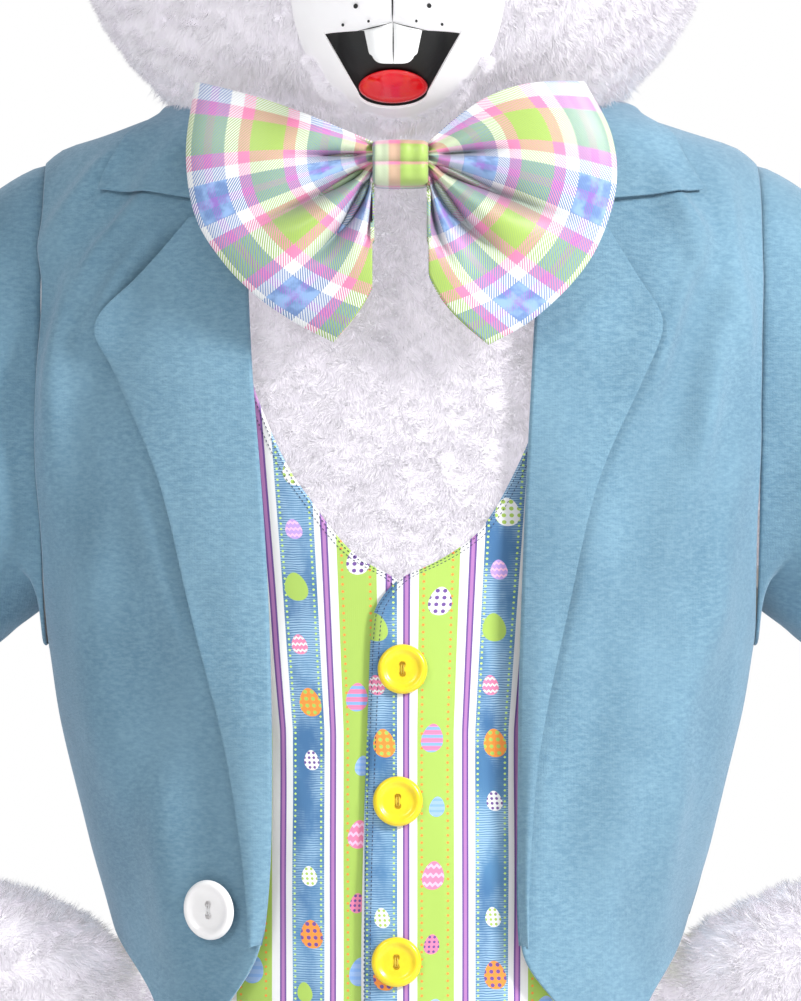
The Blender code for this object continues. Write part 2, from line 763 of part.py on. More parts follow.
x, height = JACKET_BUTTON_PLACE
angle = angle_at(JACKET_FORM, x, height)
made = button(
    "jacket_button", "white", JACKET_BUTTON, form_point(JACKET_FORM, angle, height, BUTTON_GAP),
    form_normal(JACKET_FORM, angle, height),
)
button_holes(made, 0.0066, 0.0030, (1, 0, 0))


# Bow tie. Each wing is a folded loop of cloth, pinched at the knot, open above and below.


def bow_wing(name, side, table, bulge_up, bulge_down):
    start = KNOT_SIZE.x / 2 + SEAM

    def centre_line(reach, height):
        """A point of the wing's middle surface, from the knot (reach 0) to its outer edge (1)."""
        root = Vector((start, 0, height * BOW_PINCH))
        edge = Vector((at(table, height, 1), 0, at(table, height, 2) - BOW_KNOT.z))
        across = Vector((-(edge - root).z, 0, (edge - root).x)).normalized()
        bulge = bulge_up if height > 0 else bulge_down
        point = root + (edge - root) * reach + across * math.sin(math.pi * reach) * bulge * height
        point.x = max(point.x, start)
        return point

    def surface(height, turn):
        reach = math.sin(math.pi * turn) ** 0.85 if 0 < turn < 1 else 0.0
        fold = math.cos(math.pi * turn)
        full = BOW_FULLNESS * (0.40 + 0.60 * smooth(reach * 1.6))
        pleat = 0.0050 * (1 - 0.55 * reach) * math.cos(BOW_PLEATS * math.pi * (height + 0.15))
        point = centre_line(reach, height)
        front = -fold * (full + pleat * abs(fold))
        return BOW_KNOT + Vector((side * point.x, front, point.z))

    def with_normal(height, turn):
        small = 0.004
        across = surface(height, min(turn + small, 1)) - surface(height, max(turn - small, 0))
        up = surface(min(height + small, 1), turn) - surface(max(height - small, -1), turn)
        outward = across.cross(up) * side
        if turn in (0, 1):
            outward.x = 0.0
        return surface(height, turn), outward.normalized()

    heights = [-1 + 2 * k / 11 for k in range(12)]
    turns = [0, 0.09, 0.22, 0.36, 0.46, 0.54, 0.64, 0.78, 0.91, 1]
    return wall(name, "plaid", *skins(with_normal, PRINT_WALL, heights, turns))


bow_wing("bow_wing_right", RIGHT, BOW_RIGHT, 0.004, 0.020)
bow_wing("bow_wing_left", LEFT, BOW_LEFT, 0.016, 0.024)


def bow_knot():
    block = bmesh.new()
    bmesh.ops.create_cube(block, size=1.0)
    bmesh.ops.scale(block, verts=block.verts, vec=KNOT_SIZE)
    mesh = bpy.data.meshes.new("bow_knot")
    block.to_mesh(mesh)
    block.free()
    made = add_object("bow_knot", mesh, "plaid")
    made.location = BOW_KNOT + Vector((0, KNOT_BACK, 0))
    rounded = made.modifiers.new("rounded", "BEVEL")
    rounded.width = 0.009
    rounded.segments = 3
    return made


bow_knot()


# Head. A plush shell with an open neck, a muzzle dome in front, and the face pieces on them.


def head_point(across, up):
    """A point of the head: across turns round from the front towards +X, up from the equator."""
    share = 2 / HEAD_POWER
    flat = bent(math.cos(up), share)
    return HEAD_CENTRE + Vector((
        HEAD_HALF.x * bent(math.sin(across), share) * flat,
        -HEAD_HALF.y * bent(math.cos(across), share) * flat,
        HEAD_HALF.z * bent(math.sin(up), share),
    ))


def head_rim(across):
    """The angle up at which the head ends: a sloping plane that dips at the chin."""
    low, high = -1.5, 0.0
    chin = CHIN_DROP * max(math.cos(across), 0.0) ** 8
    for _ in range(40):
        middle = (low + high) / 2
        point = head_point(across, middle)
        if point.z < HEAD_RIM + HEAD_RIM_SLOPE * point.y - chin:
            low = middle
        else:
            high = middle
    return high


def head_front(x, z):
    """How far forward the head's front lies at x and z, as a y."""
    power = HEAD_POWER
    across = abs((x - HEAD_CENTRE.x) / HEAD_HALF.x) ** power + abs((z - HEAD_CENTRE.z) / HEAD_HALF.z) ** power
    return HEAD_CENTRE.y - HEAD_HALF.y * max(1 - across, 0.0) ** (1 / power)


def head_top(x, y):
    """The height of the head's top at x and y."""
    power = HEAD_POWER
    across = abs((x - HEAD_CENTRE.x) / HEAD_HALF.x) ** power + abs((y - HEAD_CENTRE.y) / HEAD_HALF.y) ** power
    return HEAD_CENTRE.z + HEAD_HALF.z * max(1 - across, 0.0) ** (1 / power)


def head_shell():
    def surface(up_share, turn):
        across = turn * math.tau
        rim = head_rim(across)
        up = rim + (math.radians(84) - rim) * up_share
        point = head_point(across, up)
        power = HEAD_POWER - 1
        local = point - HEAD_CENTRE
        outward = Vector([
            bent(local[i] / HEAD_HALF[i], power) / HEAD_HALF[i] for i in range(3)
        ])
        return point, outward.normalized()

    rows = [0, 0.09, 0.20, 0.33, 0.48, 0.63, 0.78, 0.91, 1]
    return wall("head_shell", "plush", *skins(surface, HEAD_WALL, rows, shares(22)[:-1]), closed=True,
                cap=True)


head_shell()


def muzzle_front(x, z):
    """The muzzle's outer face as a y."""
    radius = ((x - MUZZLE_X) / MUZZLE_WIDTH) ** 2 + ((z - MUZZLE_Z) / MUZZLE_HEIGHT) ** 2
    return head_front(x, z) - MUZZLE_GAP - MUZZLE_RISE * max(1 - radius, 0.0) ** 0.75


def mouth_outline(sizes, turn, scale=1.0):
    """A point on the mouth's outline: flat above and deep below."""
    width, above, below = sizes
    rise = above * bent(math.sin(turn), 0.6) if math.sin(turn) > 0 else below * math.sin(turn)
    return MOUTH_X + width * math.cos(turn) * scale, MOUTH_Z + rise * scale


def front_wall(name, look, place, depth, rows, columns, thickness, cap):
    """A wall seen from the front: place gives x and z for a row and a turn, depth the outer y there."""

    def surface(row, share):
        x, z = place(row, share * math.tau)
        slope_x, slope_z = slopes(depth, x, z)
        return Vector((x, depth(x, z), z)), Vector((slope_x, -1, slope_z)).normalized()

    grids = skins(surface, thickness, rows, shares(columns)[:-1])
    return wall(name, look, *grids, closed=True, cap=cap)


def muzzle_place(row, turn):
    hole_x, hole_z = mouth_outline(MOUTH_HOLE, turn)
    rim_x = MUZZLE_X + MUZZLE_WIDTH * math.cos(turn)
    rim_z = MUZZLE_Z + MUZZLE_HEIGHT * math.sin(turn)
    return rim_x + (hole_x - rim_x) * row, rim_z + (hole_z - rim_z) * row


def slopes(depth, x, z):
    """How fast a face's y changes with x and with z, kept under a steep limit."""
    small = 0.001
    slope_x = (depth(x + small, z) - depth(x - small, z)) / (2 * small)
    slope_z = (depth(x, z + small) - depth(x, z - small)) / (2 * small)
    return min(max(slope_x, -2.5), 2.5), min(max(slope_z, -2.5), 2.5)


def muzzle_back(x, z):
    """The muzzle's inner face as a y."""
    slope_x, slope_z = slopes(muzzle_front, x, z)
    return muzzle_front(x, z) + MUZZLE_WALL * math.sqrt(1 + slope_x**2 + slope_z**2)


def lining_depth(x, z):
    """The mouth's lining: a bowl that sinks back from the muzzle's inner face."""
    width, above, below = MOUTH_LINING
    height = z - MOUTH_Z
    radius = math.hypot((x - MOUTH_X) / width, height / (above if height > 0 else below))
    return muzzle_back(x, z) + MOUTH_GAP + MOUTH_DEPTH * smooth((1 - radius) / 0.30)


front_wall("muzzle", "plush", muzzle_place, muzzle_front, [0, 0.08, 0.24, 0.48, 0.75, 1], 24,
           MUZZLE_WALL, False)
front_wall("mouth", "mouth", lambda row, turn: mouth_outline(MOUTH_LINING, turn, 1 - row), lining_depth,
           [0, 0.10, 0.20, 0.32, 0.65], 20, 0.0020, True)


def pad(name, look, centre, half, rise, behind, gap, columns=12):
    """A soft oval piece that lies on the face: behind gives the y of what it lies on."""

    def place(row, turn):
        return centre[0] + half[0] * (1 - row) * math.cos(turn), centre[1] + half[1] * (1 - row) * math.sin(turn)

    rows = [0, 0.10, 0.34, 0.68]
    grids = [[], []]
    for row in rows:
        lines = [[], []]
        for k in range(columns):
            x, z = place(row, math.tau * k / columns)
            back = behind(x, z) - gap
            lines[0].append(Vector((x, back - 0.001 - rise * (1 - (1 - row) ** 2) ** 0.5, z)))
            lines[1].append(Vector((x, back, z)))
        for grid, line in zip(grids, lines):
            grid.append(line)
    return wall(name, look, *grids, closed=True, cap=True)


pad("nose", "pink", (-0.003, 0.186), (0.030, 0.021), 0.016, muzzle_front, 0.0012)
pad("eye_left", "eye", (0.066, 0.270), (0.024, 0.034), 0.010, head_front, 0.0007)
pad("eye_right", "eye", (-0.076, 0.270), (0.024, 0.034), 0.010, head_front, 0.0007)
pad("tongue", "tongue", (-0.0053, 0.0435), (0.0255, 0.0110), 0.005, lining_depth, 0.0018)

# Two front teeth, hung just behind the upper lip.
TOOTH_TOP = 0.0850
TOOTH_END = 0.0515
TOOTH_WIDTH = 0.0232
TOOTH_THICK = 0.0045
TOOTH_MIDDLE = -0.0055


def tooth(name, side):
    def surface(height, share):
        z = TOOTH_TOP + (TOOTH_END - TOOTH_TOP) * height
        narrow = 1 - 0.14 * smooth((height - 0.6) / 0.4)
        x = TOOTH_MIDDLE + side * (SEAM / 2 + TOOTH_WIDTH * (0.5 + (share - 0.5) * narrow))
        lip = muzzle_back(TOOTH_MIDDLE, 0.0835) + 0.0004
        curve = 14.0 * (x - TOOTH_MIDDLE) ** 2
        return Vector((x, lip + curve + 0.004 * height, z)), Vector((0, -1, 0))

    return wall(name, "white", *skins(surface, TOOTH_THICK, [0, 0.35, 0.7, 0.9, 1], shares(4)))


tooth("tooth_left", LEFT)
tooth("tooth_right", RIGHT)

# Ears: flat padded cones on the head's top, with a lining on the front.
EAR_HEIGHT = 0.330
EAR_PLACE = (0.078, -0.030)
# Share of the height, half width, half thickness.
EAR_FORM = [(0.0, 0.040, 0.019), (0.15, 0.047, 0.019), (0.45, 0.058, 0.018), (0.75, 0.049, 0.016),
            (0.92, 0.029, 0.012), (1.0, 0.008, 0.005)]
EAR_LEAN = 0.16
EAR_GAP = 0.0014


def ear_point(share, turn, side, out=0.0):
    width, thick = at(EAR_FORM, share, 1) + out, at(EAR_FORM, share, 2) + out
    base_x = side * EAR_PLACE[0] + HEAD_CENTRE.x
    x = base_x + side * EAR_HEIGHT * EAR_LEAN * share + width * math.sin(turn)
    y = EAR_PLACE[1] - thick * bent(math.cos(turn), 0.8)
    base = head_top(base_x + width * math.sin(turn), y) + EAR_GAP
    tip = HEAD_CENTRE.z + HEAD_HALF.z + EAR_HEIGHT - 0.02
    return Vector((x, y, base + (tip - base) * share))


def ear(name, side):
    form = bmesh.new()
    rows = [0, 0.12, 0.28, 0.45, 0.62, 0.78, 0.90, 0.97, 1]
    rings = [[form.verts.new(ear_point(row, math.tau * k / 14, side)) for k in range(14)] for row in rows]
    for low, high in zip(rings, rings[1:]):
        for k in range(14):
            form.faces.new((low[k], low[(k + 1) % 14], high[(k + 1) % 14], high[k]))
    form.faces.new(rings[0])
    form.faces.new(rings[-1])
    bmesh.ops.triangulate(form, faces=[face for face in form.faces if len(face.verts) > 4])
    bmesh.ops.recalc_face_normals(form, faces=form.faces)
    mesh = bpy.data.meshes.new(name)
    form.to_mesh(mesh)
    form.free()
    return add_object(name, mesh, "plush")


def ear_lining(name, side):
    def surface(share, across):
        turn = (across - 0.5) * 2.0
        width = math.sin(math.pi * (0.06 + 0.88 * share)) ** 0.5
        return ear_point(0.08 + 0.84 * share, turn * width, side, 0.0035), Vector((0, -1, 0))

    return wall(name, "pink", *skins(surface, 0.0022, shares(7), shares(4)))


for side, side_name in ((LEFT, "left"), (RIGHT, "right")):
    ear(f"ear_{side_name}", side)
    ear_lining(f"ear_lining_{side_name}", side)
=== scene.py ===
"""Easter bunny costume: a hollow plush rabbit suit with a jacket, a printed vest, a bow tie and a head.

Metres, +Z up, the front faces -Y, and left and right are the wearer's, so left is +X. Each cloth piece is
a thin shell on the form of its solid, with its folds listed one by one. Fur is a shell with short blades.
"""

import math

import bmesh
import bpy
import numpy as np
from mathutils import Matrix, Vector


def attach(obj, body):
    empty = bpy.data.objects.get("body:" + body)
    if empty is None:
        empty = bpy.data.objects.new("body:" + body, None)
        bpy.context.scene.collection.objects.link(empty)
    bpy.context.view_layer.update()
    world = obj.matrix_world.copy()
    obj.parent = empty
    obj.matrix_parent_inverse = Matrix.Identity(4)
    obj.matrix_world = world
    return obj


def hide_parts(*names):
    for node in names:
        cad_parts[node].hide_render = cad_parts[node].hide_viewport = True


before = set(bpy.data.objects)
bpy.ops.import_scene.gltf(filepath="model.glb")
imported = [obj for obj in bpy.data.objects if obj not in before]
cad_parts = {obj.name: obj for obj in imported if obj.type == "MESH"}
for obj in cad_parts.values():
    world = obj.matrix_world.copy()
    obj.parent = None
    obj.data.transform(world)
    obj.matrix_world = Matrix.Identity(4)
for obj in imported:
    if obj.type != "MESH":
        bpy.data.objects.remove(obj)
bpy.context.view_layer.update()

SEAM = 0.0003
SECTION_POWER = 2.2
LEFT, RIGHT = 1, -1
SIDES = ((LEFT, "left"), (RIGHT, "right"))

# Body forms: height, half width, depth of the front, depth of the back.
FUR_FORM = [
    (0.045, 0.106, 0.094, 0.085), (0.038, 0.132, 0.110, 0.093), (0.029, 0.160, 0.125, 0.101),
    (0.016, 0.200, 0.140, 0.112), (-0.004, 0.234, 0.1492, 0.124), (-0.045, 0.257, 0.1592, 0.1419),
    (-0.100, 0.264, 0.165, 0.158), (-0.160, 0.262, 0.170, 0.169), (-0.250, 0.248, 0.176, 0.180),
    (-0.350, 0.229, 0.184, 0.188), (-0.450, 0.215, 0.192, 0.193), (-0.550, 0.206, 0.199, 0.197),
    (-0.620, 0.203, 0.202, 0.200), (-0.690, 0.209, 0.203, 0.203), (-0.770, 0.232, 0.204, 0.208),
]
JACKET_FORM = [
    (0.054, 0.112, 0.102, 0.094), (0.047, 0.139, 0.118, 0.102), (0.038, 0.168, 0.133, 0.110),
    (0.025, 0.208, 0.148, 0.121), (0.003, 0.271, 0.163, 0.136), (-0.043, 0.302, 0.1745, 0.152),
    (-0.100, 0.313, 0.181, 0.168), (-0.160, 0.315, 0.186, 0.182), (-0.250, 0.308, 0.194, 0.195),
    (-0.330, 0.294, 0.202, 0.203), (-0.390, 0.281, 0.207, 0.208), (-0.450, 0.270, 0.211, 0.212),
    (-0.540, 0.2480, 0.216, 0.217), (-0.616, 0.228, 0.220, 0.221), (-0.700, 0.221, 0.225, 0.225),
]
# Legs: height, centre from the middle, half width, depth of the front, depth of the back.
LEG_FORM = [
    (-0.870, 0.1240, 0.1225, 0.160, 0.174), (-0.960, 0.1310, 0.1180, 0.138, 0.146),
    (-1.090, 0.1370, 0.1090, 0.120, 0.124), (-1.240, 0.1400, 0.1040, 0.110, 0.112),
    (-1.340, 0.1420, 0.1040, 0.108, 0.110), (-1.385, 0.1420, 0.0880, 0.092, 0.094),
]
HIP, CROTCH = -0.710, -0.870
# The line of the left arm, from inside the armhole to past the fist.
ARM_LINE = [
    (0.205, 0.000, -0.150), (0.300, 0.005, -0.205), (0.400, 0.014, -0.295), (0.474, 0.020, -0.395),
    (0.488, 0.012, -0.485), (0.440, -0.006, -0.570), (0.362, -0.026, -0.622), (0.288, -0.040, -0.648),
    (0.222, -0.046, -0.654),
]
# Rings along the arm line: share of its length, radius across, radius forward.
FUR_SLEEVE = [(0.20, 0.100, 0.090), (0.45, 0.074, 0.074), (0.70, 0.064, 0.064), (0.90, 0.056, 0.058)]
JACKET_SLEEVE = [(0.20, 0.128, 0.112), (0.45, 0.092, 0.090), (0.62, 0.084, 0.084), (0.76, 0.076, 0.078)]
FUR_ARMHOLE, JACKET_ARMHOLE = 0.236, 0.281
FUR_SLEEVE_END, JACKET_SLEEVE_END = 0.800, 0.750
# The vest's front edges: height, then the distance from the middle.
VEST_NECK_RIGHT = [
    (0.030, 0.138), (-0.060, 0.124), (-0.122, 0.116), (-0.175, 0.114), (-0.205, 0.105), (-0.251, 0.084),
    (-0.274, 0.068), (-0.300, 0.049), (-0.319, 0.030), (-0.334, 0.004), (-0.345, -0.004), (-0.640, -0.004),
]
VEST_NECK_LEFT = [
    (0.030, 0.138), (-0.060, 0.124), (-0.140, 0.114), (-0.209, 0.104), (-0.258, 0.084), (-0.296, 0.061),
    (-0.312, 0.042), (-0.323, 0.023), (-0.334, 0.000), (-0.350, -0.015), (-0.365, -0.021), (-0.426, -0.024),
    (-0.578, -0.029), (-0.640, -0.029),
]
VEST_TOP, VEST_HEM, VEST_HEM_DROP = 0.030, -0.640, 0.024
VEST_ARMHOLE = [(0.019, 0.190), (-0.060, 0.193), (-0.130, 0.197), (-0.200, 0.205), (-0.260, 0.216),
                (-0.305, 0.227), (-0.328, 0.2325)]
# The jacket's fold line: height, then its distance from the middle, right and left.
JACKET_FOLD = [
    (0.054, 0.090, 0.090), (0.022, 0.108, 0.103), (-0.060, 0.118, 0.110), (-0.144, 0.117, 0.104),
    (-0.350, 0.1026, 0.094), (-0.524, 0.100, 0.090), (-0.600, 0.105, 0.091), (-0.625, 0.112, 0.096),
    (-0.654, 0.130, 0.117), (-0.676, 0.147, 0.137), (-0.690, 0.161, 0.156),
]
# Where the front ends at the open side vent: height, distance from the middle.
JACKET_VENT = [(-0.560, 0.2427), (-0.600, 0.2295), (-0.616, 0.2230), (-0.654, 0.1960), (-0.676, 0.1850),
               (-0.690, 0.1730)]
JACKET_TOP, VENT_TOP, JACKET_FRONT_HEM, JACKET_BACK_HEM = 0.052, -0.560, -0.690, -0.604
# The lapels: share of the length, height at the fold, height and distances right and left of the outer edge.
LAPELS = [
    (0.00, -0.054, -0.058, 0.160, 0.152), (0.08, -0.064, -0.080, 0.178, 0.166),
    (0.16, -0.078, -0.106, 0.200, 0.181), (0.24, -0.098, -0.132, 0.223, 0.193),
    (0.29, -0.118, -0.150, 0.2265, 0.192), (0.36, -0.160, -0.186, 0.212, 0.178),
    (0.50, -0.250, -0.262, 0.181, 0.148), (0.65, -0.350, -0.358, 0.157, 0.125),
    (0.80, -0.465, -0.470, 0.130, 0.103), (0.90, -0.550, -0.553, 0.117, 0.096),
    (1.00, -0.612, -0.614, 0.1125, 0.0945),
]
# The collar: share of half its length, then angle and height of its inner and its outer edge.
COLLAR = [
    (0.00, 180, 0.051, 180, 0.004), (0.30, 130, 0.050, 137, 0.014), (0.55, 85, 0.046, 94, 0.034),
    (0.72, 55, 0.039, 61, 0.024), (0.85, 37, 0.016, 49, -0.001), (1.00, 22, -0.046, 48.5, -0.0355),
]
# The head: centre, half sizes and power of its rounded block, and the sloping plane of its rim.
HEAD_CENTRE = np.array([-0.005, -0.050, 0.215])
HEAD_HALF = np.array([0.256, 0.216, 0.225])
HEAD_POWER = 2.2
HEAD_RIM, HEAD_RIM_SLOPE, CHIN_DROP = 0.0513, 0.17, 0.015
MUZZLE_X, MUZZLE_Z, MUZZLE_WIDTH, MUZZLE_HEIGHT = -0.002, 0.113, 0.081, 0.097
MUZZLE_RISE, MUZZLE_WALL, MUZZLE_GAP = 0.056, 0.003, 0.0045
# The mouth: half width, heights above and below its centre, of the hole and of the lining.
MOUTH_X, MOUTH_Z, MOUTH_GAP, MOUTH_DEPTH = -0.0060, 0.0757, 0.0035, 0.014
MOUTH_HOLE, MOUTH_LINING = (0.0505, 0.0010, 0.0500), (0.0545, 0.0200, 0.0540)
TOOTH_TOP, TOOTH_END, TOOTH_WIDTH, TOOTH_MIDDLE, LIP_HEIGHT = 0.0850, 0.0515, 0.0232, -0.0055, 0.0835
# Buttons: radius, thickness, and the places of their centres.
VEST_BUTTON, JACKET_BUTTON = (0.019, 0.0060), (0.023, 0.0065)
VEST_BUTTONS = {"top": (0.0015, -0.403), "middle": (-0.002, -0.503), "bottom": (-0.003, -0.624)}
JACKET_BUTTON_PLACE = (-0.143, -0.586)
# The bow: outer edge of each wing as share from the bottom to the top, distance from the middle, height.
BOW_RIGHT = [(-1.0, 0.051, -0.154), (-0.7, 0.080, -0.139), (-0.4, 0.108, -0.120), (-0.1, 0.134, -0.094),
             (0.25, 0.156, -0.058), (0.6, 0.163, -0.010), (1.0, 0.156, 0.044)]
BOW_LEFT = [(-1.0, 0.067, -0.156), (-0.6, 0.100, -0.137), (-0.2, 0.133, -0.106), (0.1, 0.152, -0.076),
            (0.4, 0.164, -0.035), (0.7, 0.160, 0.005), (1.0, 0.140, 0.044)]
BOW_KNOT, KNOT_SIZE = np.array([0.000, -0.204, -0.018]), (0.042, 0.0712, 0.036)
KNOT_BACK, BOW_PINCH, BOW_FULLNESS, BOW_PLEATS = np.array([0, 0.0129, 0]), 0.015, 0.021, 3
EAR_HEIGHT, EAR_PLACE, EAR_LEAN, EAR_GAP = 0.330, (0.078, -0.030), 0.16, 0.0014
EAR_FORM = [(0.0, 0.040, 0.019), (0.15, 0.047, 0.019), (0.45, 0.058, 0.018), (0.75, 0.049, 0.016),
            (0.92, 0.029, 0.012), (1.0, 0.008, 0.005)]
# How deep plush cloth and the roots of its pile lie under the solid's form, and how thick that cloth is.
PLUSH_UNDER, PILE_UNDER, PLUSH_THICK = 0.0060, 0.0050, 0.004
# Piles: number of blades, their length and their width.
PILES = {
    "front": (110000, 0.0095, 0.0011), "back": (45000, 0.0095, 0.0011), "sleeve": (20000, 0.011, 0.0012),
    "mitt": (42000, 0.013, 0.0012), "head": (195000, 0.0095, 0.0011), "chin": (14000, 0.0150, 0.0013),
    "lip": (22000, 0.0095, 0.0011), "ear": (24000, 0.009, 0.0012),
}
# The body's pile shows below and above these heights in front and behind, and densely on the open chest.
PILE_SHOWN = {"front": (-0.635, 0.020), "back": (-0.585, 0.028)}
CHEST_END, CHEST_MARGIN, CHEST_DENSITY = -0.36, 0.012, 16.0
# Thickness of the other cloth.
VEST_THICK, JACKET_THICK, LAPEL_THICK = 0.0014, 0.0020, 0.0022
# Rows of stitches: how far they lie from a vest front's edge.
STITCH_ROWS = (0.0022, 0.0068)


def curve(t, start, leave, end, arrive):
    """A smooth curve from start to end, which leaves and arrives in the directions given."""
    return ((2 * t**3 - 3 * t**2 + 1) * start + (t**3 - 2 * t**2 + t) * leave
            + (3 * t**2 - 2 * t**3) * end + (t**3 - t**2) * arrive)


def at(table, place, column=1):
    """A table's column at a place or an array of places, on a smooth curve through its rows."""
    rows = np.array(sorted(table), float)
    x, y = rows[:, 0], rows[:, column]
    slope = np.gradient(y)
    slope[0], slope[-1] = y[1] - y[0], y[-1] - y[-2]
    span = np.gradient(x)
    span[0], span[-1] = x[1] - x[0], x[-1] - x[-2]
    slope = slope / span
    place = np.clip(place, x[0], x[-1])
    k = np.clip(np.searchsorted(x, place, side="right") - 1, 0, len(x) - 2)
    width = x[k + 1] - x[k]
    t = (place - x[k]) / width
    return curve(t, y[k], width * slope[k], y[k + 1], width * slope[k + 1])


def smooth(t):
    t = np.clip(t, 0.0, 1.0)
    return t * t * (3 - 2 * t)


def bent(value, power):
    return np.sign(value) * np.abs(value) ** power


def unit(v):
    return v / np.maximum(np.linalg.norm(v, axis=-1, keepdims=True), 1e-9)


def stacked(x, y, z):
    return np.stack(np.broadcast_arrays(x, y, z), -1).astype(float)


def full_turn(count):
    """Angles all the way round, without the last one, which is the first again."""
    return np.linspace(0, 2 * np.pi, count + 1)[:-1]


def facing_front(points):
    return np.broadcast_to((0.0, -1.0, 0.0), points.shape)


def form_base(form, angle, height):
    depth = np.where(np.cos(angle) > 0, at(form, height, 2), at(form, height, 3))
    share = 2 / SECTION_POWER
    width = at(form, height, 1)
    return stacked(width * bent(np.sin(angle), share), -depth * bent(np.cos(angle), share), height)


def form_normal(form, angle, height):
    small = 0.0005
    middle = np.minimum(height, max(row[0] for row in form) - 2 * small)
    around = form_base(form, angle + 0.02, middle) - form_base(form, angle - 0.02, middle)
    along = form_base(form, angle, middle + small) - form_base(form, angle, middle - small)
    return unit(np.cross(around, along))


def form_point(form, angle, height, lift):
    """A point of a body form: angle from the middle of the front towards +X, moved out by lift."""
    return form_base(form, angle, height) + form_normal(form, angle, height) * np.asarray(lift)[..., None]


def angle_at(form, x, height):
    share = np.minimum(np.abs(x) / at(form, height, 1), 1.0)
    return np.copysign(np.arcsin(share ** (SECTION_POWER / 2)), x)


def armhole_span(form, x):
    """The heights of the underarm and of the shoulder point, where the form is just x wide."""

    def crossing(inside, outside):
        for _ in range(50):
            middle = (inside + outside) / 2
            if at(form, middle, 1) > x:
                inside = middle
            else:
                outside = middle
        return inside

    widest = max(form, key=lambda row: row[1])[0]
    return crossing(widest, -0.55), crossing(widest, 0.05)


def side_angle(form, x, height):
    """Where a panel ends at its side: at the side seam, or at the armhole above the underarm."""
    low, high = armhole_span(form, x)
    return np.where((height > low) & (height < high), angle_at(form, x, height), math.pi / 2)


def panel_heights(form, x, top, bottom, step):
    """Heights down a panel, closer together at the ends of its armhole."""
    low, high = armhole_span(form, x)
    middle, half = (low + high) / 2, (high - low) / 2
    count = int((high - low) / step) + 2
    armhole = middle + half * np.cos(np.pi * np.linspace(0, 1, count))
    above = np.linspace(top, high, int((top - high) / step) + 3)[:-1]
    below = np.linspace(low, bottom, int((low - bottom) / step) + 3)[1:]
    return np.concatenate([above, armhole, below])


# Meshes from grids of points.


def add(name, mesh, look, replaced=()):
    for one in look if isinstance(look, (list, tuple)) else [look]:
        mesh.materials.append(one)
    made = bpy.data.objects.new(name, mesh)
    bpy.context.scene.collection.objects.link(made)
    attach(made, "root")
    if replaced:
        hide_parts(*([replaced] if isinstance(replaced, str) else replaced))
    return made


def sheet(name, points, outward, look, replaced=(), uv=None, thick=0.0, closed=False, inside=0):
    """A shell through a grid of points, with its faces turned outward. thick is laid on inwards."""
    rows, columns = points.shape[:2]
    i = np.arange(rows - 1)[:, None]
    j = np.arange(columns if closed else columns - 1)[None, :]
    k = (j + 1) % columns
    quads = np.stack(np.broadcast_arrays(i * columns + j, i * columns + k, (i + 1) * columns + k,
                                         (i + 1) * columns + j), -1).reshape(-1, 4)
    flat = points.reshape(-1, 3)
    faced = np.cross(flat[quads[:, 2]] - flat[quads[:, 0]], flat[quads[:, 3]] - flat[quads[:, 1]])
    if (faced * outward.reshape(-1, 3)[quads[:, 0]]).sum() < 0:
        quads = quads[:, ::-1]
    mesh = bpy.data.meshes.new(name)
    mesh.from_pydata(flat.tolist(), [], quads.tolist())
    if uv is not None:
        layer = mesh.uv_layers.new(name="cloth")
        layer.data.foreach_set("uv", uv.reshape(-1, 2)[quads.reshape(-1)].astype(np.float32).ravel())
    mesh.shade_smooth()
    made = add(name, mesh, look, replaced)
    if thick:
        solid = made.modifiers.new("thickness", "SOLIDIFY")
        solid.thickness, solid.offset, solid.use_even_offset = thick, -1, False
        solid.material_offset = inside
    return made


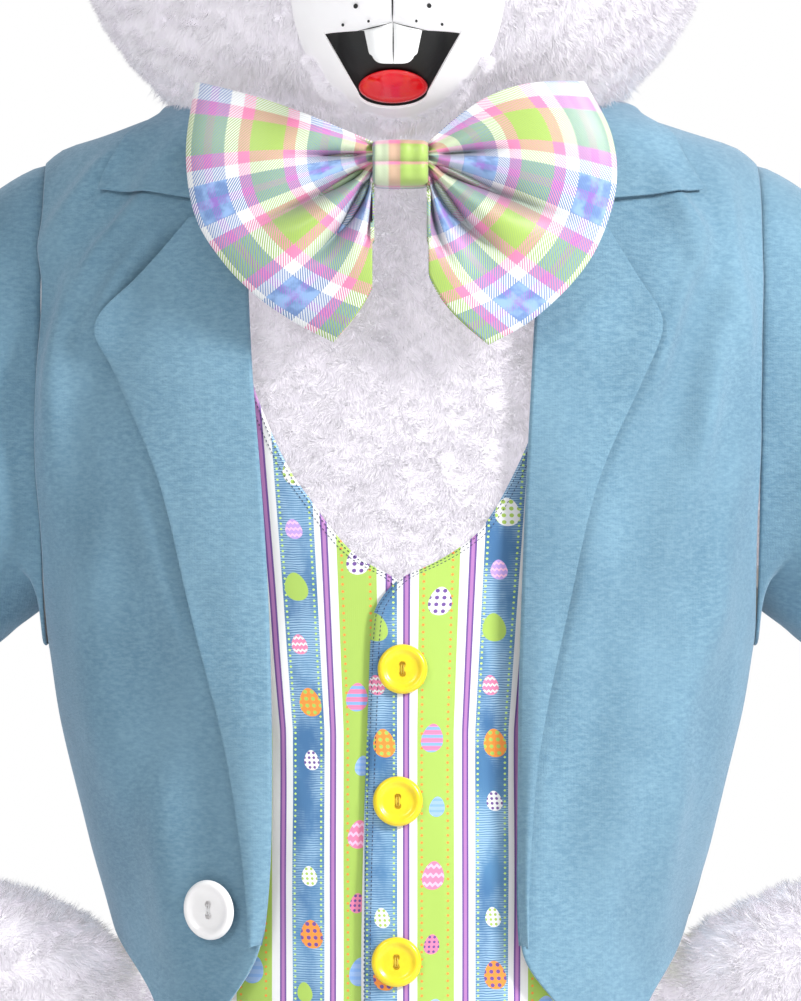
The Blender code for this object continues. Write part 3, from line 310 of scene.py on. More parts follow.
def pile(name, kind, points, outward, seed, keep=None, lean=0.75, fall=(0, 0, -1), closed=False):
    """Short fur on a grid of points: thin blades that start under it and lean with the pile."""
    count, length, width = PILES[kind]
    rng = np.random.default_rng(seed)
    if closed:
        points = np.concatenate([points, points[:, :1]], 1)
        outward = np.concatenate([outward, outward[:, :1]], 1)
    a, b, c, d = points[:-1, :-1], points[:-1, 1:], points[1:, 1:], points[1:, :-1]
    area = np.linalg.norm(np.cross(c - a, d - b), axis=-1) / 2
    if keep is not None:
        area = area * keep((a + b + c + d) / 4)
    total = np.cumsum(area.ravel())
    cell = np.searchsorted(total, rng.random(count) * total[-1])
    i, j = np.unravel_index(np.minimum(cell, area.size - 1), area.shape)
    u, v = rng.random((2, count, 1))

    def between(grid):
        return ((1 - u) * (1 - v) * grid[i, j] + u * (1 - v) * grid[i, j + 1]
                + u * v * grid[i + 1, j + 1] + (1 - u) * v * grid[i + 1, j])

    root, normal = between(points), unit(between(outward))
    swirl = np.zeros((count, 3))
    for size in (0.030, 0.014, 0.009):
        waves = unit(rng.normal(size=(3, 3))) * (2 * np.pi / size)
        swirl += np.sin(root @ waves.T + rng.random(3) * 6) * 0.5
    way = np.asarray(fall, float) * 0.9 + swirl + rng.normal(size=(count, 3)) * 0.35
    way -= normal * (way * normal).sum(-1, keepdims=True)
    reach = length * rng.uniform(0.7, 1.15, (count, 1))
    tip = root + unit(normal + way * lean) * reach
    side = unit(np.cross(normal, way) + rng.normal(size=(count, 3)) * 0.25) * width / 2
    base = root - normal * 0.001
    turned = (np.cross(side, tip - base) * normal).sum(-1, keepdims=True) < 0
    side = np.where(turned, -side, side)
    verts = np.stack([base - side, base + side, tip], 1).reshape(-1, 3)
    mesh = bpy.data.meshes.new(name)
    mesh.vertices.add(3 * count)
    mesh.vertices.foreach_set("co", verts.astype(np.float32).ravel())
    mesh.loops.add(3 * count)
    mesh.loops.foreach_set("vertex_index", np.arange(3 * count, dtype=np.int32))
    mesh.polygons.add(count)
    mesh.polygons.foreach_set("loop_start", np.arange(0, 3 * count, 3, dtype=np.int32))
    mesh.update(calc_edges=True)
    mesh.shade_smooth()
    soft = unit(normal + rng.normal(size=(count, 3)) * 0.30)
    mesh.normals_split_custom_set(np.repeat(soft, 3, axis=0))
    return add(name, mesh, BLADES, ())


# Looks. A Field is a value inside a material that can be used in sums like a number.


class Field:
    def __init__(self, tree, socket):
        self.tree, self.socket = tree, socket

    def math(self, kind, *others):
        node = self.tree.nodes.new("ShaderNodeMath")
        node.operation = kind
        for place, value in enumerate((self, *others)):
            if isinstance(value, Field):
                self.tree.links.new(value.socket, node.inputs[place])
            else:
                node.inputs[place].default_value = value
        return Field(self.tree, node.outputs[0])

    def soft(self, low, high):
        """0 below low and 1 above high, with a soft step between."""
        node = self.tree.nodes.new("ShaderNodeMapRange")
        node.interpolation_type = "SMOOTHSTEP"
        self.tree.links.new(self.socket, node.inputs["Value"])
        node.inputs["From Min"].default_value, node.inputs["From Max"].default_value = low, high
        return Field(self.tree, node.outputs[0])

    def ramp(self, stops, hard=True):
        """Colours along the value: stops are (place, colour)."""
        node = self.tree.nodes.new("ShaderNodeValToRGB")
        node.color_ramp.interpolation = "CONSTANT" if hard else "LINEAR"
        while len(node.color_ramp.elements) < len(stops):
            node.color_ramp.elements.new(1.0)
        for element, (place, colour) in zip(node.color_ramp.elements, stops):
            element.position = place
            element.color = (*colour, 1)
        self.tree.links.new(self.socket, node.inputs[0])
        return Field(self.tree, node.outputs[0])


# One method for each kind of sum.
for word, kind in {"__add__": "ADD", "__sub__": "SUBTRACT", "__mul__": "MULTIPLY", "__truediv__": "DIVIDE",
                   "less": "LESS_THAN", "more": "GREATER_THAN", "part": "FRACT", "whole": "FLOOR",
                   "size": "ABSOLUTE", "wave": "SINE", "either": "MAXIMUM", "both": "MINIMUM"}.items():
    setattr(Field, word, lambda self, *others, kind=kind: self.math(kind, *others))


class Look:
    """A material on the principled shader, with the values that its cloth, print or fur is made from."""

    def __init__(self, name, colour, roughness, **inputs):
        self.material = bpy.data.materials.new(name)
        self.material.use_nodes = True
        self.tree = self.material.node_tree
        self.shader = self.tree.nodes["Principled BSDF"]
        self.set(Base_Color=(*colour, 1), Roughness=roughness, **inputs)
        self.height = None

    def set(self, **inputs):
        for name, value in inputs.items():
            socket = self.shader.inputs[name.replace("_", " ")]
            if isinstance(value, Field):
                self.tree.links.new(value.socket, socket)
            else:
                socket.default_value = value

    def place(self, axis, uv=False):
        """The place on the object, or on its cut cloth, along one axis, in metres."""
        node = self.tree.nodes.new("ShaderNodeTexCoord")
        split = self.tree.nodes.new("ShaderNodeSeparateXYZ")
        self.tree.links.new(node.outputs["UV" if uv else "Object"], split.inputs[0])
        return Field(self.tree, split.outputs["XYZ".index(axis)])

    def noise(self, scale, detail=2.0, stretch=(1, 1, 1), uv=False, rough=0.5):
        node = self.tree.nodes.new("ShaderNodeTexCoord")
        mapping = self.tree.nodes.new("ShaderNodeMapping")
        mapping.inputs["Scale"].default_value = stretch
        self.tree.links.new(node.outputs["UV" if uv else "Object"], mapping.inputs[0])
        made = self.tree.nodes.new("ShaderNodeTexNoise")
        made.inputs["Scale"].default_value = scale
        made.inputs["Detail"].default_value = detail
        made.inputs["Roughness"].default_value = rough
        self.tree.links.new(mapping.outputs[0], made.inputs["Vector"])
        return Field(self.tree, made.outputs[0])

    def mix(self, share, first, second):
        node = self.tree.nodes.new("ShaderNodeMix")
        node.data_type = "RGBA"
        for socket, value in zip((node.inputs[0], node.inputs[6], node.inputs[7]), (share, first, second)):
            if isinstance(value, Field):
                self.tree.links.new(value.socket, socket)
            else:
                socket.default_value = value if socket == node.inputs[0] else (*value, 1)
        return Field(self.tree, node.outputs[2])

    def bump(self, height, distance, strength=1.0):
        """Adds relief, height 0 to 1 over a distance in metres."""
        node = self.tree.nodes.new("ShaderNodeBump")
        node.inputs["Strength"].default_value = strength
        node.inputs["Distance"].default_value = distance
        self.tree.links.new(height.socket, node.inputs["Height"])
        if self.height:
            self.tree.links.new(self.height, node.inputs["Normal"])
        self.height = node.outputs[0]
        self.tree.links.new(self.height, self.shader.inputs["Normal"])


WHITE = (0.86, 0.86, 0.87)
LIME, PINK, PURPLE = (0.41, 0.60, 0.11), (0.85, 0.24, 0.42), (0.17, 0.08, 0.32)
PRINT_BLUE, ORANGE, ORCHID = (0.090, 0.245, 0.450), (0.90, 0.30, 0.05), (0.48, 0.21, 0.50)

# The print's stripe and the plaid each repeat after so many metres.
PRINT_REPEAT, PLAID_REPEAT = 0.084, 0.088
# Painted light: plush and soft plastic glow a little, an emission which stands in for the light that scatters
# in them.
GLOW, SOFT_GLOW, GLOW_COLOUR = 0.27, 0.16, (0.96, 0.95, 1.0, 1)


def fur_look(name, colour, shade):
    look = Look(name, colour, 0.85)
    tuft = look.noise(90, 4, rough=0.6)
    # Painted light: the base cloth glows at one and a half times the blades' glow.
    look.set(Base_Color=look.mix(tuft.soft(0.3, 0.7), shade, colour), Sheen_Weight=0.35, Sheen_Roughness=0.6,
             Emission_Color=GLOW_COLOUR, Emission_Strength=GLOW * 1.5)
    look.bump(tuft, 0.006, 0.7)
    look.bump(look.noise(700, 2), 0.001, 0.8)
    return look.material


def blade_look(name, colour, shade):
    """Fur blades pass light on to each other; a little painted glow stands in for it and keeps the pile
    bright in its depth.
    """
    look = Look(name, colour, 0.7)
    tuft = look.noise(60, 3)
    look.set(Base_Color=look.mix(tuft.soft(0.35, 0.65), shade, colour), Specular_IOR_Level=0.15,
             Emission_Color=GLOW_COLOUR, Emission_Strength=GLOW)
    return look.material


def jacket_look(name, colour, light):
    """Brushed cotton: a fine weave, a mottled nap, and darker clouds of painted shade that stand for the
    shade of small folds.
    """
    look = Look(name, colour, 0.9)
    nap = look.noise(170, 5, (1, 1, 2.5), rough=0.65)
    cloud = look.noise(14, 3)
    # Painted shade: soft patches darken the cloth to 0.55 of its colour, for the shade of small folds.
    shade = look.noise(7, 2, (1.5, 1.5, 0.55)).soft(0.40, 0.62)
    worn_and_shaded = look.mix(nap.soft(0.30, 0.75), colour, light)
    worn_and_shaded = look.mix(shade * 0.30, worn_and_shaded, tuple(one * 0.55 for one in colour))
    look.set(Base_Color=look.mix(cloud.soft(0.25, 0.8) * 0.35, worn_and_shaded, light), Sheen_Weight=0.45,
             Sheen_Roughness=0.45, Sheen_Tint=(0.75, 0.87, 1.0, 1))
    weave = 5200
    threads = (look.place("Z") * weave).wave() * 0.5 + (look.place("X") * weave).wave() * 0.5
    look.bump(threads * 0.5 + 0.5, 0.0003, 0.35)
    look.bump(nap, 0.0010, 0.55)
    look.bump(look.noise(900, 2), 0.0005, 0.5)
    return look.material


def print_look():
    """Satin with a printed stripe: lime and blue bands edged in white and purple, with painted eggs."""
    look = Look("vest_print", WHITE, 0.36, Sheen_Weight=0.15, Anisotropic=0.4)
    across, along = look.place("X", True), look.place("Y", True)
    turn = (across / PRINT_REPEAT + 0.5).part()
    bands = [
        (0.000, LIME), (0.205, WHITE), (0.280, PURPLE), (0.295, ORCHID), (0.322, PURPLE), (0.337, WHITE),
        (0.400, PRINT_BLUE), (0.695, WHITE), (0.745, PURPLE), (0.760, ORCHID), (0.787, PURPLE),
        (0.802, WHITE), (0.875, LIME),
    ]
    base = turn.ramp(bands)
    blue = turn.more(0.400).both(turn.less(0.695))
    # Painted shade: the blue bands darken in soft patches, for the shade in the folds of the satin.
    satin_fold_shade = look.noise(17, 2, (1.6, 0.55, 1), True).soft(0.34, 0.62)
    base = look.mix(blue * satin_fold_shade * 0.60, base, (0.030, 0.115, 0.290))
    lines = ((along / 0.0018 + look.noise(70, 2, uv=True) * 1.5).part() - 0.5).size().soft(0.10, 0.30)
    worn_and_shaded = look.noise(28, 4, (1, 0.6, 1), True, 0.6).soft(0.36, 0.62)
    base = look.mix(blue * lines * worn_and_shaded * 0.75, base, (0.45, 0.66, 0.82))

    def dotted(middle, colour, under, pitch=0.0042, radius=0.00085):
        x = (turn - middle) * PRINT_REPEAT
        y = ((along / pitch).part() - 0.5) * pitch
        return look.mix((x * x + y * y).less(radius**2), under, colour)

    for middle in (0.915, 0.150):
        base = dotted(middle, ORANGE, base, 0.0055, 0.0010)
    for middle in (0.425, 0.665):
        base = dotted(middle, (0.62, 0.86, 0.20), base)

    def eggs(under, turn, middle, pitch, shift, lane, tilt):
        row = (along + shift) / pitch
        cell = row.whole()
        pick = ((cell + lane * 7.3).wave() * 43.7).part().size()
        kind = ((cell * 1.7 + lane * 3.1).wave() * 91.3).part().size()
        sway = ((pick * 6.3).wave()) * 0.003
        small = (cell / 2).part().more(0.25) * 0.42 + 1.0
        x = ((turn - middle) * PRINT_REPEAT - sway) * small
        y = (row.part() - 0.5) * pitch * small
        lean_x = x + y * tilt
        wide = (y * -0.16) + 0.0082
        inside = ((lean_x / wide) * (lean_x / wide) + (y / 0.0108) * (y / 0.0108)).less(1.0)
        shell = pick.ramp([(0, WHITE), (0.18, ORANGE), (0.36, (0.35, 0.52, 0.86)), (0.55, PINK),
                           (0.72, LIME), (0.86, (0.55, 0.36, 0.78))])
        marks = kind.ramp([(0, PURPLE), (0.25, LIME), (0.45, (0.95, 0.55, 0.75)), (0.65, WHITE),
                           (0.85, (0.25, 0.45, 0.85))])
        dot_x, dot_y = ((lean_x / 0.0052).part() - 0.5), ((y / 0.0052).part() - 0.5)
        dots = (dot_x * dot_x + dot_y * dot_y).less(0.085) * kind.less(0.5)
        zigzag = (((lean_x / 0.0042).part() - 0.5).size() * 0.0042 + y) / 0.0068
        rows = zigzag.part().less(0.34) * kind.more(0.5) * kind.less(0.8)
        rings = (y / 0.0060).part().less(0.42) * kind.more(0.8)
        shell = look.mix(dots.either(rows).either(rings), shell, marks)
        shown = inside * ((cell * 2.3 + lane).wave()).more(-0.96)
        return look.mix(shown, under, shell)

    base = eggs(base, turn, 0.545, 0.044, 0.010, 1, 0.10)
    base = eggs(base, (turn + 0.5).part(), 0.535, 0.052, 0.034, 2, -0.08)
    look.set(Base_Color=base)
    look.bump(look.noise(45, 3, (1, 0.35, 1), True), 0.0016, 0.25)
    look.bump((across * 4200).wave() * 0.5 + (along * 9000).wave() * 0.5, 0.0001, 0.25)
    return look.material


def plaid_look():
    """Twill in two sets of pastel bands, crossed thread by thread on the slant."""
    look = Look("bow_plaid", WHITE, 0.42, Sheen_Weight=0.2)
    across, along = look.place("X", True), look.place("Y", True)
    blue, green, pink = (0.16, 0.27, 0.56), (0.40, 0.57, 0.11), (0.86, 0.24, 0.44)

    def threads(place, dye):
        bands = [(0.00, pink), (0.10, green), (0.39, pink), (0.49, WHITE), (0.59, blue), (0.70, dye),
                 (0.77, blue), (0.88, WHITE)]
        return (place / PLAID_REPEAT).part().ramp(bands)

    def in_blue(place):
        share = (place / PLAID_REPEAT).part()
        return share.more(0.59).both(share.less(0.88))

    warp, weft = threads(across, (0.30, 0.16, 0.58)), threads(along, (0.34, 0.18, 0.62))
    slant = ((across + along) / 0.0023).part()
    base = look.mix(slant.soft(0.40, 0.52), warp, weft)
    twill = slant.more(0.62).both(slant.less(0.86))
    base = look.mix(twill * 0.30, base, (0.10, 0.20, 0.24))
    # Painted shade: the cloth darkens in the bow's pleat valleys, through a point attribute that bow_wing
    # lays on.
    valley_shade = look.tree.nodes.new("ShaderNodeAttribute")
    valley_shade.attribute_name = "valley_shade"
    base = look.mix(Field(look.tree, valley_shade.outputs["Fac"]) * 0.72, base, (0.10, 0.13, 0.17))
    wash = look.noise(75, 3, uv=True).soft(0.40, 0.62)
    base = look.mix(in_blue(across) * in_blue(along) * wash * 0.75, base, (0.33, 0.52, 0.84))
    look.set(Base_Color=base)
    look.bump(slant, 0.0003, 0.4)
    look.bump(look.noise(60, 3, uv=True), 0.0010, 0.3)
    return look.material


def plastic_look(name, colour, roughness, mottle=0.12, coat=0.3, glow=None):
    look = Look(name, colour, roughness, Coat_Weight=coat, Coat_Roughness=0.15)
    darker = tuple(c * (1 - mottle) for c in colour)
    look.set(Base_Color=look.mix(look.noise(60, 3).soft(0.35, 0.7), darker, colour))
    look.bump(look.noise(500, 2), 0.0003, 0.25)
    # Painted light: an optional glow on soft plastic, an emission that brightens it.
    if glow:
        look.set(Emission_Color=glow, Emission_Strength=SOFT_GLOW)
    return look.material


FUR = fur_look("plush_base", (0.86, 0.84, 0.87), (0.82, 0.80, 0.84))
BLADES = blade_look("plush_pile", (0.79, 0.755, 0.80), (0.75, 0.715, 0.765))
BLUE = jacket_look("jacket_cotton", (0.122, 0.252, 0.358), (0.215, 0.372, 0.480))
LINING = jacket_look("jacket_lining", (0.70, 0.66, 0.58), (0.80, 0.77, 0.70))
PRINT = print_look()
PLAID = plaid_look()
YELLOW = plastic_look("yellow_plastic", (0.97, 0.72, 0.015), 0.32)
BUTTON_WHITE = plastic_look("white_plastic", (0.93, 0.91, 0.91), 0.30, 0.03)
# The muzzle and the tongue get a painted glow that brightens them.
MUZZLE_WHITE = plastic_look("muzzle_white", (0.84, 0.825, 0.84), 0.45, 0.02, 0.1, glow=(1.0, 0.98, 1.0, 1))
TEETH = plastic_look("teeth_white", (0.93, 0.93, 0.93), 0.25, 0.02)
MOUTH_BLACK = plastic_look("mouth_black", (0.004, 0.005, 0.005), 0.50, 0.2, 0.0)
TONGUE_RED = plastic_look("tongue_red", (0.80, 0.005, 0.010), 0.08, 0.05, 0.5, glow=(0.45, 0.0, 0.005, 1))
THREAD = plastic_look("thread", (0.70, 0.50, 0.05), 0.8, 0.3)
WHITE_THREAD = plastic_look("white_thread", (0.80, 0.80, 0.80), 0.8, 0.1)
BLUE_THREAD = plastic_look("blue_thread", (0.045, 0.065, 0.13), 0.8, 0.3)
PINK_CLOTH = jacket_look("ear_pink", (0.80, 0.38, 0.48), (0.90, 0.52, 0.60))
NOSE_PINK = plastic_look("nose_pink", (0.88, 0.40, 0.50), 0.35)
EYE_BLACK = plastic_look("eye_black", (0.02, 0.03, 0.05), 0.08, 0.3)


# Folds: start x and z, end x and z, width, depth. Each is a soft ridge, deepest at its middle.


def fold_lift(folds, points):
    """How far folds lift the cloth at points."""
    x, z = points[..., 0], points[..., 2]
    lift = np.zeros(x.shape)
    for x0, z0, x1, z1, width, depth in folds:
        length = math.hypot(x1 - x0, z1 - z0)
        along = ((x - x0) * (x1 - x0) + (z - z0) * (z1 - z0)) / length**2
        away = ((x - x0) * (z1 - z0) - (z - z0) * (x1 - x0)) / length
        bow = away - 0.12 * length * along * (1 - along)
        fade = smooth((along + 0.15) / 0.4) * smooth((1.15 - along) / 0.5)
        lift += depth * np.exp(-((bow / width) ** 2)) * fade
    return lift


def grain(points, size, seed):
    """Soft wandering values from -1 to 1, for cloth that doesn't lie quite flat."""
    rng = np.random.default_rng(seed)
    waves = unit(rng.normal(size=(6, 3))) * (2 * np.pi / size) * rng.uniform(0.6, 1.4, (6, 1))
    return np.sin(points @ waves.T + rng.random(6) * 6.28).mean(-1) * 1.6


def cloth(name, look, form, heights, angles, lift, replaced, drop, thick, shift, folds=(), waver=0.0,
          seed=1, uv_start=None):
    """A panel on a body form: angles has one row for each height. The second look is its inside."""
    high = np.broadcast_to(heights[:, None], angles.shape).copy()
    if drop is not None:
        high = high - drop(angles, high)
    flat = form_base(form, angles, high)
    away = lift(angles, high) if callable(lift) else np.full(angles.shape, lift)
    away = away + fold_lift(folds, flat) + waver * grain(flat, 0.11, seed)
    points = form_point(form, angles, high, away)
    points[..., 1] += shift
    uv = None
    if uv_start is not None:
        uv = np.stack(uv_start(angles, high, flat), -1)
    sheet(name, points, form_normal(form, angles, high), look, replaced, uv, thick, inside=1)
    return points


def spread(start, stop, count):
    """Angles from start to stop, one row for each height."""
    return start[:, None] + (stop - start)[:, None] * np.linspace(0, 1, count)[None, :]


def round_edge(made, segments, degrees):
    rounded = made.modifiers.new("edge", "BEVEL")
    rounded.width, rounded.segments, rounded.limit_method = 0.0009, segments, "ANGLE"
    rounded.angle_limit = math.radians(degrees)


def plush(part, node, kind, points, normals, seed, closed=True, **how):
    """Plush cloth on the form of its solid, with its pile."""
    sheet(f"plush_{part}", points - normals * PLUSH_UNDER, normals, FUR, node, thick=PLUSH_THICK,
          closed=closed)
    pile(f"pile_{part}", kind, points - normals * PILE_UNDER, normals, seed, closed=closed, **how)


# Plush jumpsuit.


def leg_point(angle, height, side, half):
    centre, width = at(LEG_FORM, height, 1), at(LEG_FORM, height, 2)
    depth = at(LEG_FORM, height, 3 if half < 0 else 4)
    share = 2 / SECTION_POWER
    return stacked(side * (centre + width * bent(np.sin(angle), share)),
                   half * depth * bent(np.cos(angle), share), height)


def jumpsuit_row(height, share, side, half):
    """A row of a jumpsuit panel: share runs from the middle seam to the side seam."""
    if height > HIP:
        angle = side_angle(FUR_FORM, FUR_ARMHOLE, height) * share
        angle = angle if half < 0 else math.pi - angle
        return form_base(FUR_FORM, side * angle, np.full(share.shape, height))
    leg_angle = math.pi * (share - 0.5)
    if height <= CROTCH:
        return leg_point(leg_angle, height, side, half)
    torso_angle = side * math.pi / 2 * share
    torso_angle = torso_angle if half < 0 else side * math.pi - torso_angle
    torso = form_base(FUR_FORM, torso_angle, np.full(share.shape, HIP))
    leg = leg_point(leg_angle, CROTCH, side, half)
    t = (HIP - height) / (HIP - CROTCH)
    length = HIP - CROTCH
    inner = (1 - share) ** 2
    leave = stacked(0, 0, -length * (1 - 0.2 * inner))
    arrive = stacked(0, -half * length * 1.1 * inner, -length * (1 - inner))
    torso[0, 0] = leg[0, 0] = 0.0
    return curve(t, torso, leave, leg, arrive)


def grid_normals(points, closed=False):
    if closed:
        points = np.concatenate([points[:, -1:], points, points[:, :1]], 1)
    across, down = np.gradient(points, axis=1), np.gradient(points, axis=0)
    normals = unit(np.cross(across, down))
    return normals[:, 1:-1] if closed else normals


def jumpsuit(side, side_name, half, half_name):
    heights = panel_heights(FUR_FORM, FUR_ARMHOLE, FUR_FORM[0][0], HIP, 0.016)
    heights = np.concatenate([heights, np.linspace(HIP, LEG_FORM[-1][0], 44)[1:]])
    share = np.linspace(0, 1, 22)
    points = np.array([jumpsuit_row(h, share, side, half) for h in heights])
    normals = grid_normals(points)
    if (normals[..., 1] * half).sum() < 0:
        normals = -normals
    normals[:, 0, 0] = 0
    normals = unit(normals)

    def shown(middle):
        x, z = np.abs(middle[..., 0]), middle[..., 2]
        below, above = PILE_SHOWN[half_name]
        density = (z < below) * 1.0 + (z > above) * 1.0
        if half < 0:
            density += ((x < at(VEST_NECK_RIGHT, z) + CHEST_MARGIN) & (z > CHEST_END)) * CHEST_DENSITY
        return density

    part = f"{half_name}_{side_name}"
    plush(part, f"fur_{part}", half_name, points, normals, 11 + side + 3 * half, False, keep=shown)


for side, side_name in SIDES:
    jumpsuit(side, side_name, -1, "front")
    jumpsuit(side, side_name, 1, "back")


# Sleeves and mitts, swept along the arm line.


def arm_point(share):
    table = [(i / (len(ARM_LINE) - 1), *row) for i, row in enumerate(ARM_LINE)]
    return np.array([at(table, share, column) for column in (1, 2, 3)])


def arm_frame(share):
    along = unit(arm_point(min(share + 0.01, 1)) - arm_point(max(share - 0.01, 0)))
    forward = np.array([0.0, -1.0, 0.0])
    forward = unit(forward - along * forward.dot(along))
    return arm_point(share), along, unit(np.cross(forward, along)), forward


def armhole_ring(form, x, turns):
    low, high = armhole_span(form, x)

    def outline(angle):
        height = (low + high) / 2 + (high - low) / 2 * np.cos(angle)
        section = angle_at(form, x, height)
        section = np.where(np.sin(angle) < 0, math.pi - section, section)
        point = form_base(form, section, height)
        point[..., 0] = x
        return point

    tangent = outline(turns + 0.01) - outline(turns - 0.01)
    return outline(turns), -unit(stacked(0, -tangent[..., 2], tangent[..., 1]))


def sleeve_ring(table, share, turns):
    centre, _, up, forward = arm_frame(share)
    high, wide = at(table, share, 1), at(table, share, 2)
    cos, sin = np.cos(turns)[:, None], np.sin(turns)[:, None]
    return centre + up * high * cos + forward * wide * sin, unit(up * cos / high + forward * sin / wide)


def sleeve_grid(form, armhole, table, end, rings, columns):
    """Points and outward directions of a left sleeve, from the armhole to the cuff."""
    blend = table[0][0]
    turns = full_turn(columns)
    points, normals = [], []
    for share in np.linspace(0, end, rings + 1):
        if share >= blend:
            point, normal = sleeve_ring(table, share, turns)
        else:
            t = share / blend
            first, first_normal = armhole_ring(form, armhole, turns)
            last, last_normal = sleeve_ring(table, blend, turns)
            run = np.linalg.norm(last - first, axis=-1, keepdims=True)
            leave = run * np.array([1, 0, -0.35])
            arrive = arm_frame(blend)[1] * run
            point = curve(t, first, leave, last, arrive)
            normal = unit(first_normal + (last_normal - first_normal) * smooth(t))
        points.append(point)
        normals.append(normal)
    return np.array(points), np.array(normals)


def mirrored(grid, side):
    return grid * np.array([side, 1, 1])


def sleeve_creases(rings, columns, seed):
    """Creases that run round the inside of the elbow, and soft ones below the armhole."""
    share = np.linspace(0, 1, rings + 1)[:, None]
    turn = full_turn(columns)[None, :]
    rng = np.random.default_rng(seed)
    lift = np.zeros((rings + 1, columns))
    for place in (0.50, 0.58, 0.66, 0.73, 0.80):
        middle = np.pi * (0.95 + rng.uniform(-0.15, 0.15))
        around = np.cos(turn - middle) * 0.5 + 0.5
        line = share - place - 0.05 * (1 - around) * rng.choice((-1, 1))
        lift += 0.0050 * np.exp(-((line / 0.018) ** 2)) * around**2
    for place, middle in ((0.22, 0.9), (0.30, 2.2), (0.36, 4.0)):
        around = np.maximum(np.cos(turn - middle), 0) ** 1.5
        lift += 0.0040 * np.exp(-(((share - place - 0.08 * np.sin(turn)) / 0.030) ** 2)) * around
    return lift


def jacket_sleeve(side, side_name):
    rings, columns = 84, 64
    points, normals = sleeve_grid(JACKET_FORM, JACKET_ARMHOLE, JACKET_SLEEVE, JACKET_SLEEVE_END, rings,
                                  columns)
    lift = sleeve_creases(rings, columns, 5 + side) + 0.0010 * grain(points, 0.09, 3)
    points = points + normals * lift[..., None]
    points[0] = points[0] - normals[0] * 0.001
    # The cuff is turned in.
    last = points[-1]
    inward = -normals[-1] * 0.0030
    turned = [last + normals[-1] * 0.0002, last + inward, points[-4] + inward * 1.2]
    points = np.concatenate([points, np.array(turned)])
    normals = np.concatenate([normals, normals[-1:], -normals[-1:], -normals[-1:]])
    points, normals = mirrored(points, side), mirrored(normals, side)
    sheet(f"sleeve_{side_name}", points, normals, [BLUE, LINING], f"jacket_sleeve_{side_name}",
          thick=0.0016, closed=True, inside=1)


def fur_arm(side, side_name):
    points, normals = sleeve_grid(FUR_FORM, FUR_ARMHOLE, FUR_SLEEVE, FUR_SLEEVE_END, 40, 40)
    points, normals = mirrored(points, side), mirrored(normals, side)
    end = mirrored(arm_point(JACKET_SLEEVE_END - 0.06), side)
    way = mirrored(arm_frame(FUR_SLEEVE_END)[1], side)
    plush(f"sleeve_{side_name}", f"fur_sleeve_{side_name}", "sleeve", points, normals, 31 + side,
          keep=lambda middle: ((middle - end) @ way > 0) * 1.0, fall=way + np.array([0, 0, -0.5]))


def mitt(side, side_name):
    start = FUR_SLEEVE_END + 0.0006
    centre, along, up, forward = arm_frame(start)
    wrist = at(FUR_SLEEVE, start, 1)
    share = np.linspace(0, 1.0, 26)[:, None, None]
    turns = full_turn(40)[None, :, None]
    bulge = wrist * (np.maximum(np.cos(share * 1.53), 0)) ** 0.55 * (1 + 0.10 * np.sin(np.pi * share))
    middle = centre + along * 0.125 * np.sin(share * 1.53) - np.array([0, 0, 0.004]) * share
    round_way = up * np.cos(turns) + forward * np.sin(turns)
    normals = unit(unit(round_way) * np.cos(share * 1.4) + along * np.sin(share * 1.4))
    points = middle + round_way * bulge
    points, normals = mirrored(points, side), mirrored(normals, side)
    plush(f"mitt_{side_name}", f"mitt_{side_name}", "mitt", points, normals, 41 + side,
          fall=mirrored(along, side) * 0.6 + np.array([0, 0, -0.6]))


for side, side_name in SIDES:
    jacket_sleeve(side, side_name)
    fur_arm(side, side_name)
    mitt(side, side_name)


# Vest. The upper front laps over the lower one.


def vest_lift(over):
    def lift(angle, height):
        under_arm = smooth((-0.05 - height) / 0.15) * np.sin(angle) ** 2
        under_arm = under_arm * (1 - 0.6 * smooth((-0.42 - height) / 0.12))
        away = 0.0033 + 0.0076 * under_arm + 0.0027 * smooth((height + 0.10) / 0.05)
        if over:
            x = form_base(FUR_FORM, angle, height)[..., 0]
            away = away + 0.0038 * smooth((0.050 - x) / 0.044)
        return away

    return lift


def vest_drop(angle, height):
    share = smooth((VEST_TOP - 0.5 - height) / (VEST_TOP - 0.5 - VEST_HEM))
    return VEST_HEM_DROP * share * np.maximum(np.cos(angle), 0.0)


def vest_side(height):
    inside = (height > VEST_ARMHOLE[-1][0]) & (height < VEST_ARMHOLE[0][0])
    return np.where(inside, angle_at(FUR_FORM, at(VEST_ARMHOLE, height), height), math.pi / 2)


def stitch_line(name, points, outward, look):
    """A row of stitches along a line of points, each a lens of thread that takes up part of the pitch."""
    pitch, size, proud, length = 0.0034, 0.00032, 0.0002, 0.62
    step = np.linalg.norm(np.diff(points, axis=0), axis=-1)
    total = np.concatenate([[0], np.cumsum(step)])
    count = max(int(total[-1] / pitch), 1)
    verts, faces = [], []
    for k in range(count):
        ends = (np.array([0.0, 0.25, 0.75, 1.0]) * length + k + 0.2) * pitch
        spots = np.stack([np.interp(ends, total, points[:, i]) for i in range(3)], -1)
        out = np.stack([np.interp(ends, total, outward[:, i]) for i in range(3)], -1)
        side = unit(np.cross(spots[-1] - spots[0], out[0]))
        base = len(verts)
        for i, full in enumerate((0.15, 1.0, 1.0, 0.15)):
            verts += [spots[i] + side * size * full, spots[i] + out[i] * (proud + size * 1.3 * full),
                      spots[i] - side * size * full]
        for i in range(3):
            a, b = base + 3 * i, base + 3 * i + 3
            faces += [(a, a + 1, b + 1, b), (a + 1, a + 2, b + 2, b + 1)]
    mesh = bpy.data.meshes.new(name)
    mesh.from_pydata([tuple(v) for v in verts], [], faces)
    mesh.shade_smooth()
    add(name, mesh, look)


